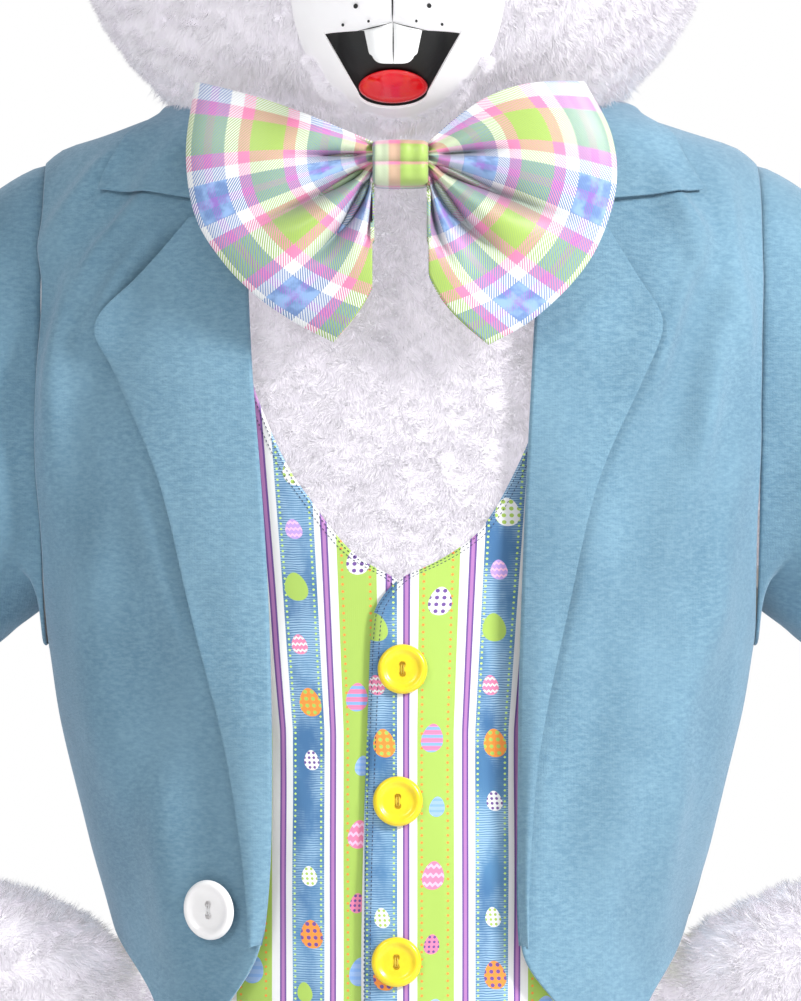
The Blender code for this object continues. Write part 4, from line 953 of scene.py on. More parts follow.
def vest_front(name, side, table, over, node):
    heights = np.concatenate([np.linspace(VEST_TOP, -0.30, 60), np.linspace(-0.30, -0.37, 26)[1:],
                              np.linspace(-0.37, VEST_HEM, 46)[1:]])
    start, stop = angle_at(FUR_FORM, at(table, heights), heights), vest_side(heights)
    angles = side * spread(start, stop, 46)
    folds = [
        (-0.07, -0.50, -0.075, -0.64, 0.006, 0.0022), (0.085, -0.36, 0.095, -0.63, 0.007, 0.0022),
        (-0.095, -0.36, -0.075, -0.50, 0.007, 0.0016), (0.035, -0.50, 0.045, -0.64, 0.006, 0.0018),
        (-0.035, -0.42, -0.03, -0.58, 0.006, 0.0014),
    ]

    # The stripes draw in towards the waist, and each front is cut at its own place in the repeat.
    repeat, phase, lower = ((0.083, 0.2245, 0.031), (0.080, -0.090, 0.0))[side == RIGHT]

    def starts(angle, high, flat):
        drawn = flat[..., 0] / (1 + 0.95 * np.maximum(high + 0.45, 0))
        return (drawn / repeat + phase) * PRINT_REPEAT, high + lower

    points = cloth(name, [PRINT, WHITE_THREAD], FUR_FORM, heights, angles, vest_lift(over), node,
                   vest_drop, VEST_THICK, -SEAM / 2, folds, 0.0007, 2, starts)
    return points, form_normal(FUR_FORM, angles, np.broadcast_to(heights[:, None], angles.shape))


def inset(points, distance):
    """A line on a panel at a set distance from its first edge."""
    line = []
    for row in points:
        along = np.concatenate([[0], np.cumsum(np.linalg.norm(np.diff(row, axis=0), axis=-1))])
        line.append([np.interp(distance, along, row[:, i]) for i in range(3)])
    return np.array(line)


fronts = {
    "right": vest_front("vest_right", RIGHT, VEST_NECK_RIGHT, False, "vest_front_right"),
    "left": vest_front("vest_left", LEFT, VEST_NECK_LEFT, True, "vest_front_left"),
}
for side_name, (points, outward) in fronts.items():
    for k, distance in enumerate(STITCH_ROWS):
        stitch_line(f"vest_stitch_{side_name}_{k}", inset(points, distance), outward[:, 0], BLUE_THREAD)
back_heights = np.linspace(VEST_TOP, VEST_HEM, 90)
vest_edge = vest_side(back_heights)
cloth("vest_back_panel", [PRINT, WHITE_THREAD], FUR_FORM, back_heights,
      spread(math.pi - vest_edge, math.pi + vest_edge, 50), vest_lift(False), "vest_back", None,
      VEST_THICK, SEAM / 2, uv_start=lambda angle, high, flat: (flat[..., 0], high))


# Jacket body.

FRONT_FOLDS = [
    (-0.190, -0.040, -0.250, -0.110, 0.0055, 0.0060), (-0.178, -0.060, -0.240, -0.145, 0.0060, 0.0055),
    (-0.210, -0.026, -0.272, -0.085, 0.0050, 0.0050), (-0.250, -0.080, -0.262, -0.240, 0.0100, 0.0080),
    (0.226, -0.079, 0.190, -0.200, 0.0080, 0.0065), (0.252, -0.094, 0.226, -0.260, 0.0100, 0.0070),
    (0.205, -0.035, 0.245, -0.085, 0.0060, 0.0055),
    (-0.155, 0.010, -0.235, -0.110, 0.012, 0.0095), (-0.215, 0.000, -0.285, -0.090, 0.010, 0.0084),
    (-0.262, -0.130, -0.262, -0.300, 0.016, 0.0095), (-0.225, -0.060, -0.255, -0.200, 0.012, 0.0063),
    (-0.240, -0.300, -0.215, -0.520, 0.020, 0.0095), (-0.180, -0.480, -0.165, -0.640, 0.018, 0.0074),
    (-0.170, -0.030, -0.250, -0.200, 0.013, 0.0095), (-0.200, -0.250, -0.150, -0.420, 0.016, 0.0063),
    (0.235, -0.030, 0.165, -0.260, 0.020, 0.0095), (0.268, -0.100, 0.200, -0.360, 0.018, 0.0105),
    (0.240, -0.330, 0.195, -0.560, 0.018, 0.0084), (0.150, -0.300, 0.130, -0.480, 0.014, 0.0053),
    (0.250, -0.020, 0.268, -0.180, 0.012, 0.0095), (0.200, -0.020, 0.245, -0.120, 0.010, 0.0063),
    (0.262, -0.220, 0.235, -0.420, 0.018, 0.0084), (0.190, -0.380, 0.160, -0.600, 0.020, 0.0063),
    (0.215, -0.480, 0.200, -0.620, 0.014, 0.0053),
]
BACK_FOLDS = [
    (-0.20, 0.000, -0.25, -0.140, 0.014, 0.0095), (0.20, 0.000, 0.25, -0.140, 0.014, 0.0095),
    (-0.14, -0.300, -0.13, -0.580, 0.022, 0.0084), (0.15, -0.320, 0.13, -0.580, 0.022, 0.0084),
    (-0.24, -0.360, -0.12, -0.430, 0.016, 0.0074), (0.24, -0.380, 0.12, -0.450, 0.016, 0.0074),
    (0.00, -0.120, 0.01, -0.420, 0.030, 0.0053),
]


def jacket_front(name, side, column, node):
    heights = panel_heights(JACKET_FORM, JACKET_ARMHOLE, JACKET_TOP, VENT_TOP, 0.0055)
    heights = np.concatenate([heights, np.linspace(VENT_TOP, JACKET_FRONT_HEM, 40)[1:]])
    start = angle_at(JACKET_FORM, at(JACKET_FOLD, heights, column), heights)
    vent = angle_at(JACKET_FORM, at(JACKET_VENT, heights), heights)
    stop = np.where(heights > VENT_TOP, side_angle(JACKET_FORM, JACKET_ARMHOLE, heights), vent)
    angles = side * spread(start, stop, 90)
    cloth(name, [BLUE, LINING], JACKET_FORM, heights, angles, 0.0, node, None, JACKET_THICK,
          -SEAM / 2, FRONT_FOLDS, 0.0020, 3)


jacket_front("jacket_right", RIGHT, 1, "jacket_front_right")
jacket_front("jacket_left", LEFT, 2, "jacket_front_left")
heights = panel_heights(JACKET_FORM, JACKET_ARMHOLE, JACKET_TOP, VENT_TOP, 0.009)
heights = np.concatenate([heights, np.linspace(VENT_TOP, JACKET_BACK_HEM, 8)[1:]])
edge = side_angle(JACKET_FORM, JACKET_ARMHOLE, heights)
cloth("jacket_back_panel", [BLUE, LINING], JACKET_FORM, heights, spread(math.pi - edge, math.pi + edge, 80),
      0.0, "jacket_back", None, JACKET_THICK, SEAM / 2, BACK_FOLDS, 0.0014, 4)


# Lapels turn round the front edge in a soft roll, and lie on the jacket to their free edge.


def lapel(name, side, column, node):
    length = np.concatenate([np.linspace(0, 0.36, 50), np.linspace(0.36, 1, 50)[1:]])
    fold_height = at(LAPELS, length, 1)
    outer_height, outer_x = at(LAPELS, length, 2), at(LAPELS, length, 2 + column)
    fold_x = at(JACKET_FOLD, fold_height, column) + 0.0005
    share = np.linspace(0, 1, 26)[None, :]
    height = fold_height[:, None] + (outer_height - fold_height)[:, None] * share
    x = fold_x[:, None] + (outer_x - fold_x)[:, None] * share
    angles = side * angle_at(JACKET_FORM, x, height)
    away = 0.0033 + 0.0045 * share + 0.0022 * np.sin(np.pi * share)
    flat = form_base(JACKET_FORM, angles, height)
    under = fold_lift(FRONT_FOLDS, flat)
    points = form_point(JACKET_FORM, angles, height, away + under + 0.0006 * grain(flat, 0.10, 6))
    normals = form_normal(JACKET_FORM, angles, height)
    # The roll: half a turn from under the jacket's edge up to the lapel.
    edge, out = points[:, :1], normals[:, :1]
    across = unit(points[:, 1:2] - edge)
    turn = np.linspace(-0.5 * np.pi, 0.42 * np.pi, 8)[None, :, None]
    radius = 0.0030
    roll = edge - out * radius + out * radius * np.sin(turn) - across * radius * np.cos(turn) * 0.9
    roll_out = unit(out * np.sin(turn) - across * np.cos(turn))
    points = np.concatenate([roll, points], 1)
    normals = np.concatenate([roll_out, normals], 1)
    round_edge(sheet(name, points, normals, BLUE, node, thick=LAPEL_THICK), 2, 50)


lapel("lapel_cloth_right", RIGHT, 1, "lapel_right")
lapel("lapel_cloth_left", LEFT, 2, "lapel_left")


def collar():
    length = np.linspace(-1, 1, 141)
    place = np.abs(length)
    inner, outer = np.radians(at(COLLAR, place, 1)), np.radians(at(COLLAR, place, 3))
    share = np.linspace(0, 1, 20)[None, :]
    angle = inner[:, None] + (outer - inner)[:, None] * share
    inner_height, outer_height = at(COLLAR, place, 2), at(COLLAR, place, 4)
    height = inner_height[:, None] + (outer_height - inner_height)[:, None] * share
    angle = np.where(length[:, None] < 0, math.tau - angle, angle)
    away = 0.0051 + 0.0015 * share + 0.0018 * np.sin(np.pi * share) * np.ones_like(angle)
    flat = form_base(JACKET_FORM, angle, height)
    points = form_point(JACKET_FORM, angle, height, away + 0.95 * fold_lift(FRONT_FOLDS, flat))
    normals = form_normal(JACKET_FORM, angle, height)
    round_edge(sheet("collar_cloth", points, normals, BLUE, "collar", thick=LAPEL_THICK), 2, 50)


collar()


# Buttons: a turned disc with a raised rim, a dished middle, two holes and a bar of thread.


def bridge(mesh, low, high):
    """Faces between two rings of the same number of points."""
    for k in range(len(low)):
        after = (k + 1) % len(low)
        mesh.faces.new((low[k], low[after], high[after], high[k]))


def placed(name, mesh, way):
    bmesh.ops.recalc_face_normals(mesh, faces=mesh.faces)
    data = bpy.data.meshes.new(name)
    mesh.to_mesh(data)
    mesh.free()
    data.transform(way)
    data.shade_smooth()
    return data


def button(name, look, thread, sizes, place, outward, node):
    radius, thick = sizes
    around, spacing, bore = 48, radius * 0.30 * 0.62, radius * 0.135
    profile = [(0.30, 0.60), (0.52, 0.60), (0.60, 0.63), (0.68, 0.74), (0.74, 0.92), (0.80, 1.0),
               (0.87, 0.98), (0.93, 0.86), (0.98, 0.66), (1.0, 0.45), (0.97, 0.22), (0.90, 0.04), (0.84, 0.0)]
    turn = full_turn(around)
    rings = [np.stack([r * radius * np.cos(turn), r * radius * np.sin(turn), np.full(around, h * thick)], -1)
             for r, h in profile]
    mesh = bmesh.new()
    grid = [[mesh.verts.new(p) for p in ring] for ring in rings]
    for low, high in zip(grid, grid[1:]):
        bridge(mesh, low, high)
    mesh.faces.new(grid[-1][::-1])
    # The dished middle, with its two bores going down from it.
    top = profile[0][1] * thick
    rims = [grid[0]]
    for sign in (-1, 1):
        ring = [mesh.verts.new((bore * math.cos(a), sign * spacing + bore * math.sin(a), top))
                for a in full_turn(16)]
        deep = [mesh.verts.new(v.co + Vector((0, 0, -thick * 0.55))) for v in ring]
        bridge(mesh, ring, deep)
        mesh.faces.new(deep)
        rims.append(ring)
    edges = [mesh.edges.get((ring[k], ring[(k + 1) % len(ring)])) for ring in rims for k in range(len(ring))]
    bmesh.ops.triangle_fill(mesh, use_beauty=True, edges=edges)
    z = Vector(outward)
    up = Vector((0, 0, 1))
    y = (up - z * up.dot(z)).normalized()
    way = Matrix.Translation(Vector(place)) @ Matrix((y.cross(z), y, z)).transposed().to_4x4()
    data = placed(name, mesh, way)
    data.set_sharp_from_angle(angle=math.radians(40))
    add(name, data, look, node)
    # Two strands of thread from hole to hole.
    bar, thread_radius = bmesh.new(), 0.0005
    for offset in (-0.35, 0.35):
        path = [(offset * bore, spacing * s, top + h) for s, h in
                ((1.0, -0.0012), (0.8, 0.0002), (0.4, 0.0006), (0, 0.0007))]
        path += [(x, -y, z) for x, y, z in path[-2::-1]]
        rings = [[bar.verts.new((x + thread_radius * math.cos(a), y, z + thread_radius * math.sin(a)))
                  for a in full_turn(6)] for x, y, z in path]
        for low, high in zip(rings, rings[1:]):
            bridge(bar, low, high)
    add(f"{name}_thread", placed(f"{name}_thread", bar, way), thread)


for place_name, (x, height) in VEST_BUTTONS.items():
    angle = angle_at(FUR_FORM, x, height)
    outward = form_normal(FUR_FORM, angle, height)
    centre = form_point(FUR_FORM, angle, height, vest_lift(True)(angle, height) + 0.0006)
    button(f"button_{place_name}", YELLOW, THREAD, VEST_BUTTON, centre, outward,
           f"vest_button_{place_name}")
x, height = JACKET_BUTTON_PLACE
angle = angle_at(JACKET_FORM, x, height)
outward = form_normal(JACKET_FORM, angle, height)
button("button_jacket", BUTTON_WHITE, WHITE_THREAD, JACKET_BUTTON,
       form_point(JACKET_FORM, angle, height, 0.0030), outward, "jacket_button")


# Bow tie: each wing is a folded loop, pinched in pleats at the knot.


# Valleys pinched at the knot: share of the height, half width, depth, and how far out they run.
BOW_VALLEYS = {
    "bow_wing_right": [(0.52, 0.10, 0.0120, 0.55), (-0.02, 0.09, 0.0150, 0.95), (-0.46, 0.10, 0.0150, 0.85),
                       (-0.80, 0.08, 0.0110, 0.50)],
    "bow_wing_left": [(0.48, 0.09, 0.0110, 0.50), (0.08, 0.10, 0.0150, 1.05), (-0.38, 0.11, 0.0160, 0.75),
                      (-0.74, 0.09, 0.0130, 0.60)],
}


def bow_wing(name, side, table, bulge_up, bulge_down, node):
    start = KNOT_SIZE[0] / 2 + SEAM
    rows, columns = 90, 110
    height = np.linspace(-1, 1, rows)[:, None]
    turn = np.linspace(0, 1, columns)[None, :]
    reach = np.sin(np.pi * np.clip(turn, 1e-6, 1 - 1e-6)) ** 0.85
    root = stacked(start, 0, height * BOW_PINCH)
    edge = stacked(at(table, height, 1), 0, at(table, height, 2) - BOW_KNOT[2])
    across = unit(stacked(-(edge - root)[..., 2], 0, (edge - root)[..., 0]))
    bulge = np.where(height > 0, bulge_up, bulge_down)
    swell = np.sin(np.pi * reach) * bulge * height
    middle = root + (edge - root) * reach[..., None] + across * swell[..., None]
    middle[..., 0] = np.maximum(middle[..., 0], start)
    fold = np.cos(np.pi * turn)
    full = BOW_FULLNESS * (0.40 + 0.60 * smooth(reach * 1.6))
    pleat = 0.0025 * (1 - 0.6 * reach) * np.cos(BOW_PLEATS * np.pi * (height + 0.15))
    # Painted shade: how dark the cloth is painted in each pleat valley, laid on as a point attribute that the
    # plaid reads.
    shade = np.zeros((rows, columns))
    for place, wide, deep, extent in BOW_VALLEYS[node]:
        line = height - place - 0.10 * (reach - 0.4)
        near = smooth(reach * 9) * smooth((extent - reach) / extent * 1.5)
        pleat = pleat - 1.35 * deep * near * np.exp(-((np.abs(line) / wide) ** 0.8))
        pleat = pleat + deep * 0.30 * near * np.exp(-(((np.abs(line) - 2.4 * wide) / (1.6 * wide)) ** 2))
        dark = np.where(line > 0, 1.0, 0.45) * line / (0.55 * wide)
        shade = np.maximum(shade, near * np.exp(-(dark**2)))
    pleat = pleat + 0.0022 * np.sin(8 * height + 2.0 * side) * reach**2
    front = -fold * (full + pleat * np.abs(fold))
    points = BOW_KNOT + stacked(side * middle[..., 0], front, middle[..., 2])
    normals = unit(np.cross(np.gradient(points, axis=1), np.gradient(points, axis=0)))
    if normals[rows // 2, 20, 1] > 0:
        normals = -normals
    long = np.linalg.norm(edge - root, axis=-1)
    inward = np.where(turn < 0.5, 1 - reach, reach - 1) * long
    uv = np.stack([inward - 0.040, (1 - height) * 0.105 - 0.010 + 0 * turn], -1)
    made = sheet(name, points, normals, PLAID, node, uv, 0.0014)
    valley_shade = made.data.attributes.new("valley_shade", "FLOAT", "POINT")
    valley_shade.data.foreach_set("value", shade.astype(np.float32).ravel())


bow_wing("bow_right", RIGHT, BOW_RIGHT, 0.004, 0.020, "bow_wing_right")
bow_wing("bow_left", LEFT, BOW_LEFT, 0.016, 0.024, "bow_wing_left")


def bow_knot():
    """A gathered band round the middle, a little fuller in front."""
    around = np.linspace(0, 2 * np.pi, 73)
    across = np.linspace(-1, 1, 24)
    width, depth, high = (s / 2 for s in KNOT_SIZE)
    power = 2 / 4.5
    y = -depth * bent(np.cos(around), power)
    z = high * bent(np.sin(around), power)
    points = np.zeros((len(across), len(around), 3))
    for i, place in enumerate(across):
        swell = 1 - 0.05 * place**2 - 0.08 * max(abs(place) - 0.86, 0) / 0.14
        gather = 0.0010 * np.sin(place * 11) * (0.6 + 0.4 * np.sin(around * 2))
        points[i] = stacked(place * width, y * swell - gather * np.sign(np.cos(around)), z * swell)
    points = points + BOW_KNOT + KNOT_BACK
    normals = unit(points - (BOW_KNOT + KNOT_BACK))
    arc = np.concatenate([[0], np.cumsum(np.hypot(np.diff(y), np.diff(z)))])
    uv = np.stack(np.broadcast_arrays(across[:, None] * width + 0.097, arc[None, :] + 0.02), -1)
    sheet("bow_band", points, normals, PLAID, "bow_knot", uv, 0.0018)


bow_knot()


# Head: a plush shell, a smooth muzzle with an open mouth, and the face pieces.


def head_grid(rows, columns):
    across = full_turn(columns)
    low, high = np.full(columns, -1.5), np.zeros(columns)
    limit_drop = CHIN_DROP * np.maximum(np.cos(across), 0) ** 8

    def place(across, up):
        share = 2 / HEAD_POWER
        flat = bent(np.cos(up), share)
        return HEAD_CENTRE + HEAD_HALF * stacked(bent(np.sin(across), share) * flat,
                                                 -bent(np.cos(across), share) * flat, bent(np.sin(up), share))

    for _ in range(40):
        middle = (low + high) / 2
        point = place(across, middle)
        under = point[:, 2] < HEAD_RIM + HEAD_RIM_SLOPE * point[:, 1] - limit_drop
        low, high = np.where(under, middle, low), np.where(under, high, middle)
    up = high[None, :] + (math.radians(87) - high)[None, :] * np.linspace(0, 1, rows)[:, None]
    points = place(across[None, :], up)
    local = (points - HEAD_CENTRE) / HEAD_HALF
    return points, unit(bent(local, HEAD_POWER - 1) / HEAD_HALF)


def head_height(axis, first, second):
    """How far the head reaches from its centre along an axis, at places on the two other axes."""
    others = [k for k in range(3) if k != axis]
    across = sum(np.abs((place - HEAD_CENTRE[k]) / HEAD_HALF[k]) ** HEAD_POWER
                 for place, k in zip((first, second), others))
    return HEAD_HALF[axis] * np.maximum(1 - across, 0.0) ** (1 / HEAD_POWER)


def head_front(x, z):
    return HEAD_CENTRE[1] - head_height(1, x, z)


def muzzle_front(x, z):
    radius = ((x - MUZZLE_X) / MUZZLE_WIDTH) ** 2 + ((z - MUZZLE_Z) / MUZZLE_HEIGHT) ** 2
    return head_front(x, z) - MUZZLE_GAP - MUZZLE_RISE * np.maximum(1 - radius, 0.0) ** 0.75


def slopes(depth, x, z):
    small, steepest = 0.001, 2.5
    slope_x = (depth(x + small, z) - depth(x - small, z)) / (2 * small)
    slope_z = (depth(x, z + small) - depth(x, z - small)) / (2 * small)
    return np.clip(slope_x, -steepest, steepest), np.clip(slope_z, -steepest, steepest)


def muzzle_back(x, z):
    slope_x, slope_z = slopes(muzzle_front, x, z)
    return muzzle_front(x, z) + MUZZLE_WALL * np.sqrt(1 + slope_x**2 + slope_z**2)


def lining_depth(x, z):
    width, above, below = MOUTH_LINING
    height = z - MOUTH_Z
    radius = np.hypot((x - MOUTH_X) / width, height / np.where(height > 0, above, below))
    return muzzle_back(x, z) + MOUTH_GAP + MOUTH_DEPTH * smooth((1 - radius) / 0.30)


def face_normals(depth, x, z):
    slope_x, slope_z = slopes(depth, x, z)
    return unit(stacked(slope_x, -1, slope_z))


def mouth_outline(sizes, turn, scale=1.0):
    """The mouth: a lip in two low arches above, and a deep bowl that narrows below."""
    width, above, below = sizes
    lower, share = np.sin(turn) < 0, np.abs(np.cos(turn))
    # Nearly straight sides run down to a round bottom.
    corner = np.minimum(share / 0.35, 1.0) * np.pi / 2
    straight = np.maximum(1 - share, 0) / 0.65
    deep = np.where(share > 0.35, 0.80 * straight, 0.80 + 0.20 * np.cos(corner))
    half = np.where(share > 0.35, 1 - 0.48 * straight, 0.52 * np.sin(corner))
    rise = np.where(lower, -below * deep, above * bent(np.sin(turn), 0.6))
    x = MOUTH_X + width * np.where(lower, half * np.sign(np.cos(turn)), np.cos(turn)) * scale
    notch = np.where(np.sin(turn) > 0, 0.0058 * np.exp(-(((x - MOUTH_X) / 0.011) ** 2)), 0.0)
    return x, MOUTH_Z + rise * scale + notch * (sizes == MOUTH_HOLE)


points, normals = head_grid(90, 140)
head_under = 0.0065
sheet("head_plush", points - normals * head_under, normals, FUR, "head_shell", thick=0.010,
      closed=True)
top = points[-1].mean(0)
cap_points = np.stack([points[-1], np.broadcast_to(top + np.array([0, 0, 0.001]), points[-1].shape)])
sheet("head_crown", cap_points - np.array([0, 0, head_under]), np.broadcast_to((0.0, 0, 1), cap_points.shape),
      FUR, thick=PLUSH_THICK, closed=True)


def off_muzzle(middle):
    x, y, z = middle[..., 0], middle[..., 1], middle[..., 2]
    under = 0.004
    radius = ((x - MUZZLE_X) / (MUZZLE_WIDTH - under)) ** 2 + ((z - MUZZLE_Z) / (MUZZLE_HEIGHT - under)) ** 2
    low = 0.6 + 2.6 * (z < 0.14) * (y < 0.0)
    return np.where((radius < 1) & (y < -0.1), 0.0, low)


pile("pile_head", "head", points - normals * 0.0055, normals, 61, off_muzzle, closed=True)
pile("pile_chin", "chin", points[:4] - normals[:4] * 0.004, normals[:4], 62,
     lambda m: (m[..., 1] < -0.06) * 1.0, lean=1.6, closed=True)

# The muzzle's skin, from its rim in to the lips, which turn in round the mouth.
row = np.concatenate([np.linspace(0, 0.12, 10), np.linspace(0.12, 0.94, 44)[1:], np.linspace(0.94, 1, 8)[1:]])
row = row[:, None]
turn = full_turn(160)[None, :]
hole_x, hole_z = mouth_outline(MOUTH_HOLE, turn)
rim_x, rim_z = MUZZLE_X + MUZZLE_WIDTH * np.cos(turn), MUZZLE_Z + MUZZLE_HEIGHT * np.sin(turn)
x, z = rim_x + (hole_x - rim_x) * row, rim_z + (hole_z - rim_z) * row
y = muzzle_front(x, z)
groove = np.exp(-(((x - MOUTH_X) / 0.0011) ** 2)) * smooth((z - 0.083) / 0.004) * smooth((0.176 - z) / 0.01)
cheek = 0.0030 * np.exp(-(((np.abs(x - MOUTH_X) - 0.032) / 0.020) ** 2) - ((z - 0.107) / 0.020) ** 2)
y = y + 0.0016 * groove - cheek
lip_edge = smooth((row - 0.93) / 0.07)
y = y + 0.0030 * lip_edge**2
points = stacked(x, y, z)
normals = face_normals(muzzle_front, x, z)
turned_in = points[-1] + np.array([0, 0.0035, 0])
points = np.concatenate([points, turned_in[None]])
normals = np.concatenate([normals, normals[-1:]])
sheet("muzzle_skin", points, normals, MUZZLE_WHITE, "muzzle", closed=True, thick=0.0012)
edge = points[:12] + np.array([0, 0.0005, 0])
pile("pile_lip", "lip", edge, np.broadcast_to(unit(np.array([0, -0.85, -0.5])), edge.shape), 63,
     lambda m: (m[..., 2] < 0.060) * 1.0, lean=1.5, fall=(0, 0, 1), closed=True)

row = np.concatenate([np.linspace(0, 0.35, 18), np.linspace(0.35, 0.985, 14)[1:]])[:, None]
x, z = mouth_outline(MOUTH_LINING, turn, 1 - row)
points = stacked(x, lining_depth(x, z), z)
sheet("mouth_lining", points, face_normals(lining_depth, x, z), MOUTH_BLACK, "mouth", closed=True)


def oval(name, look, centre, half, rise, behind, gap, replaced, power=0.5, dimple=0.0):
    """A soft oval piece on the face, from what lies behind it."""
    row = np.concatenate([np.linspace(0, 0.2, 10), np.linspace(0.2, 0.99, 16)[1:]])[:, None]
    turn = full_turn(72)[None, :]
    x = centre[0] + half[0] * (1 - row) * np.cos(turn)
    z = centre[1] + half[1] * (1 - row) * np.sin(turn)
    full = (1 - (1 - row) ** 2) ** power
    dip = dimple * np.exp(-(((x - centre[0]) / (half[0] * 0.32)) ** 2))
    dip = dip * smooth((z - centre[1]) / half[1] + 0.4)
    points = stacked(x, behind(x, z) - gap - 0.0008 - (rise - dip) * full, z)
    outward = facing_front(points)
    sheet(name, points, outward, look, replaced, closed=True)


oval("tongue_pad", TONGUE_RED, (-0.0056, 0.0398), (0.0262, 0.0113), 0.009, lining_depth, 0.0018, "tongue",
     0.5, 0.0035)
oval("nose_pad", NOSE_PINK, (-0.003, 0.186), (0.030, 0.021), 0.016, muzzle_front, 0.0012, "nose")
for side, side_name in SIDES:
    oval(f"eye_dome_{side_name}", EYE_BLACK, (HEAD_CENTRE[0] + side * 0.071, 0.270), (0.024, 0.034), 0.010,
         head_front, 0.0007, f"eye_{side_name}")
# Whisker dots: distance from the middle, height, radius.
WHISKER_DOTS = ((0.0273, 0.0930, 0.0017), (0.0370, 0.0805, 0.0011), (0.0178, 0.0822, 0.0010))
for side, side_name in SIDES:
    for k, (dx, dz, size) in enumerate(WHISKER_DOTS):
        oval(f"whisker_dot_{side_name}_{k}", MOUTH_BLACK, (MOUTH_X + side * dx, dz), (size, size), 0.0006,
             lambda x, z: muzzle_front(x, z) - 0.0032, -0.0004, ())
oval("philtrum", MOUTH_BLACK, (MOUTH_X, 0.113), (0.0008, 0.0310), 0.0003,
     lambda x, z: muzzle_front(x, z) - 0.0004, -0.0010, ())


def drawn_line(name, x, z, half, depth):
    """A thin dark line on the face, narrow at its ends."""
    width = half * np.sin(np.linspace(0.12, np.pi - 0.12, len(x)))
    points = np.stack([stacked(x, depth(x, z), z - width), stacked(x, depth(x, z), z + width)], 1)
    sheet(name, points, facing_front(points), MOUTH_BLACK, ())


for side, side_name in SIDES:
    x = np.linspace(0, 0.0265, 30)
    drawn_line(f"lip_line_{side_name}", MOUTH_X + side * x, 0.0820 - 0.0060 * (x / 0.0265) ** 0.7, 0.0005,
               lambda x, z: muzzle_front(x, z) - 0.0005)
oval("tooth_line", MOUTH_BLACK, (TOOTH_MIDDLE, 0.0665), (0.0006, 0.0145), 0.0003,
     lambda x, z: 0 * x + muzzle_back(TOOTH_MIDDLE, LIP_HEIGHT) - 0.0010, 0.0, ())


def tooth(name, side, node):
    height, share = np.linspace(0, 1, 30)[:, None], np.linspace(0, 1, 24)[None, :]
    low = smooth((height - 0.72) / 0.28)
    narrow = 1 - 0.30 * height - 0.06 * low**2
    x = TOOTH_MIDDLE + side * (SEAM / 2 + TOOTH_WIDTH * share * narrow)
    sag = 0.0045 * share**5 * low
    z = TOOTH_TOP + (TOOTH_END - TOOTH_TOP) * height + sag
    lip = muzzle_back(TOOTH_MIDDLE, LIP_HEIGHT) + 0.0004
    dome = 0.0022 * (1 - (2 * share - 1) ** 4) * (1 - height**6)
    points = stacked(x, lip + 14.0 * (x - TOOTH_MIDDLE) ** 2 + 0.004 * height + 0.0018 - dome, z)
    outward = facing_front(points)
    round_edge(sheet(name, points, outward, TEETH, node, thick=0.0036), 3, 30)


tooth("tooth_front_left", LEFT, "tooth_left")
tooth("tooth_front_right", RIGHT, "tooth_right")


# Ears: padded plush with a pink lining in front.


def ear_point(share, turn, side, out):
    width, thick = at(EAR_FORM, share, 1) + out, at(EAR_FORM, share, 2) + out
    base_x = side * EAR_PLACE[0] + HEAD_CENTRE[0]
    x = base_x + side * EAR_HEIGHT * EAR_LEAN * share + width * np.sin(turn)
    y = EAR_PLACE[1] - thick * bent(np.cos(turn), 0.8)
    base = HEAD_CENTRE[2] + head_height(2, base_x + width * np.sin(turn), y) + EAR_GAP
    tip = HEAD_CENTRE[2] + HEAD_HALF[2] + EAR_HEIGHT - 0.02
    return stacked(x, y, base + (tip - base) * share)


for side, side_name in SIDES:
    share, turn = np.linspace(0, 1, 50)[:, None], full_turn(40)[None, :]
    points = ear_point(share, turn, side, -0.004)
    normals = grid_normals(points, True)
    if (normals[25] * (points[25] - points[25].mean(0))).sum() < 0:
        normals = -normals
    sheet(f"ear_plush_{side_name}", points, normals, FUR, f"ear_{side_name}", closed=True)
    pile(f"pile_ear_{side_name}", "ear", points, normals, 71 + side,
         lambda m: 1.0 - 0.97 * ((m[..., 1] < EAR_PLACE[1] - 0.009) & (m[..., 2] > 0.46)),
         fall=(0, 0, 0.6), closed=True)
    share, across = np.linspace(0, 1, 40)[:, None], np.linspace(0, 1, 22)[None, :]
    width = np.sin(np.pi * (0.06 + 0.88 * share)) ** 0.5
    points = ear_point(0.08 + 0.84 * share, (across - 0.5) * 2.0 * width, side, 0.0030)
    outward = facing_front(points)
    sheet(f"ear_lining_cloth_{side_name}", points, outward, PINK_CLOTH, f"ear_lining_{side_name}",
          thick=0.0016)


# Studio: a pale floor, a world that is white to the camera and dimmer as light, a key, a fill and a back
# light, and the camera of the photo.


def light(name, place, target, size, power):
    data = bpy.data.lights.new(name, "AREA")
    data.size, data.energy = size, power
    made = bpy.data.objects.new(name, data)
    bpy.context.scene.collection.objects.link(made)
    made.location = place
    made.rotation_mode = "QUATERNION"
    made.rotation_quaternion = (Vector(target) - Vector(place)).to_track_quat("-Z", "Y")


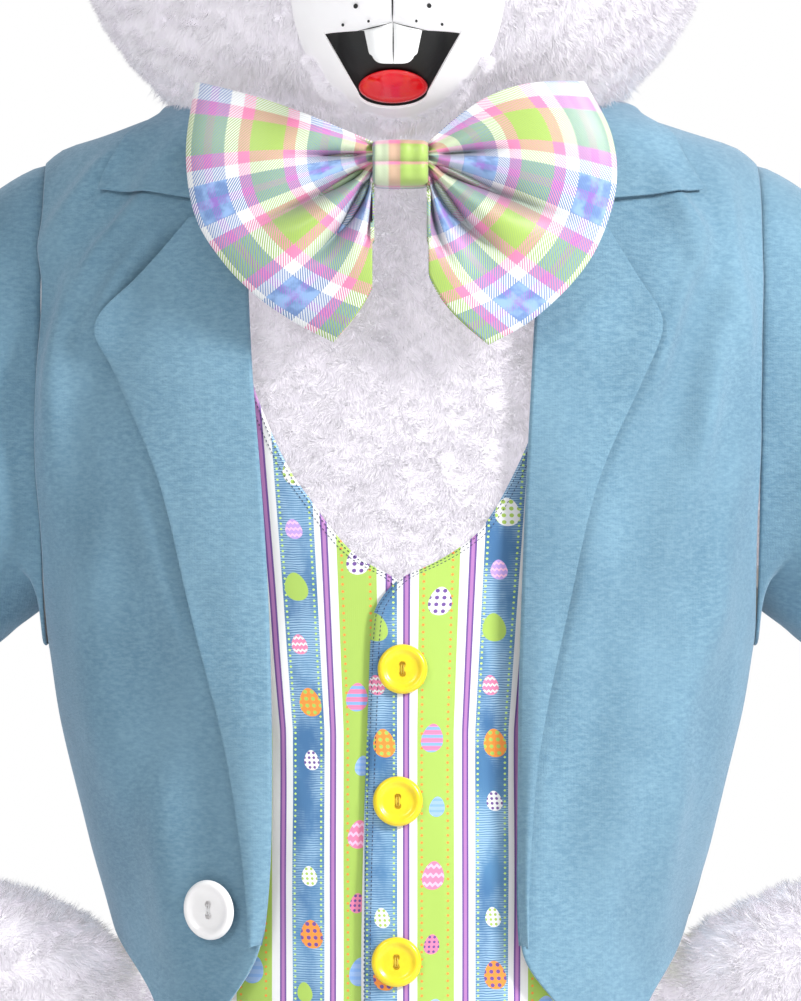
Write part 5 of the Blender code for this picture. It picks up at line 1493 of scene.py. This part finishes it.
light("key", (3.3, -2.6, 1.9), (0, 0, -0.2), 1.0, 235)
light("fill", (-2.0, -3.8, 1.9), (0, 0, -0.2), 1.2, 52)
light("back", (0.5, 3.0, 2.4), (0, 0, 0), 2.5, 32)

world = bpy.data.worlds.new("studio")
bpy.context.scene.world = world
world.use_nodes = True
nodes, links = world.node_tree.nodes, world.node_tree.links
shown, seen = nodes.new("ShaderNodeBackground"), nodes.new("ShaderNodeLightPath")
mixed = nodes.new("ShaderNodeMixShader")
backgrounds = ((shown, (1, 1, 1, 1), 1.0), (nodes["Background"], (0.96, 0.98, 1, 1), 0.52))
for background, colour, strength in backgrounds:
    background.inputs[0].default_value, background.inputs[1].default_value = colour, strength
links.new(seen.outputs["Is Camera Ray"], mixed.inputs[0])
links.new(nodes["Background"].outputs[0], mixed.inputs[1])
links.new(shown.outputs[0], mixed.inputs[2])
links.new(mixed.outputs[0], nodes["World Output"].inputs[0])

floor_mesh = bpy.data.meshes.new("floor")
floor_height, reach = -1.40, 6
corners = [(x * reach, y * reach, floor_height) for x, y in ((-1, -1), (1, -1), (1, 1), (-1, 1))]
floor_mesh.from_pydata(corners, [], [(0, 1, 2, 3)])
floor = bpy.data.objects.new("floor", floor_mesh)
bpy.context.scene.collection.objects.link(floor)
floor_look = Look("floor_paper", (0.90, 0.90, 0.90), 0.8)
floor_look.set(Base_Color=floor_look.mix(floor_look.noise(3, 2), (0.90, 0.90, 0.90), (0.93, 0.93, 0.93)))
floor_mesh.materials.append(floor_look.material)

# The photo shows so many metres from top to bottom, at this distance from the camera, where the jacket's
# front and the middle of the photo are.
photo_height, photo_distance, photo_front, photo_middle = 0.7608, 4, -0.2, -0.274
camera = bpy.data.cameras.new("camera")
camera.sensor_fit = "VERTICAL"
camera.sensor_height = 36
camera.lens = camera.sensor_height * photo_distance / photo_height
shot = bpy.data.objects.new("camera", camera)
bpy.context.scene.collection.objects.link(shot)
shot.location = (0, photo_front - photo_distance, photo_middle)
shot.rotation_euler = (math.radians(90), 0, 0)
bpy.context.scene.camera = shot

scene = bpy.context.scene
scene.view_settings.view_transform = "Standard"
scene.view_settings.look = "None"
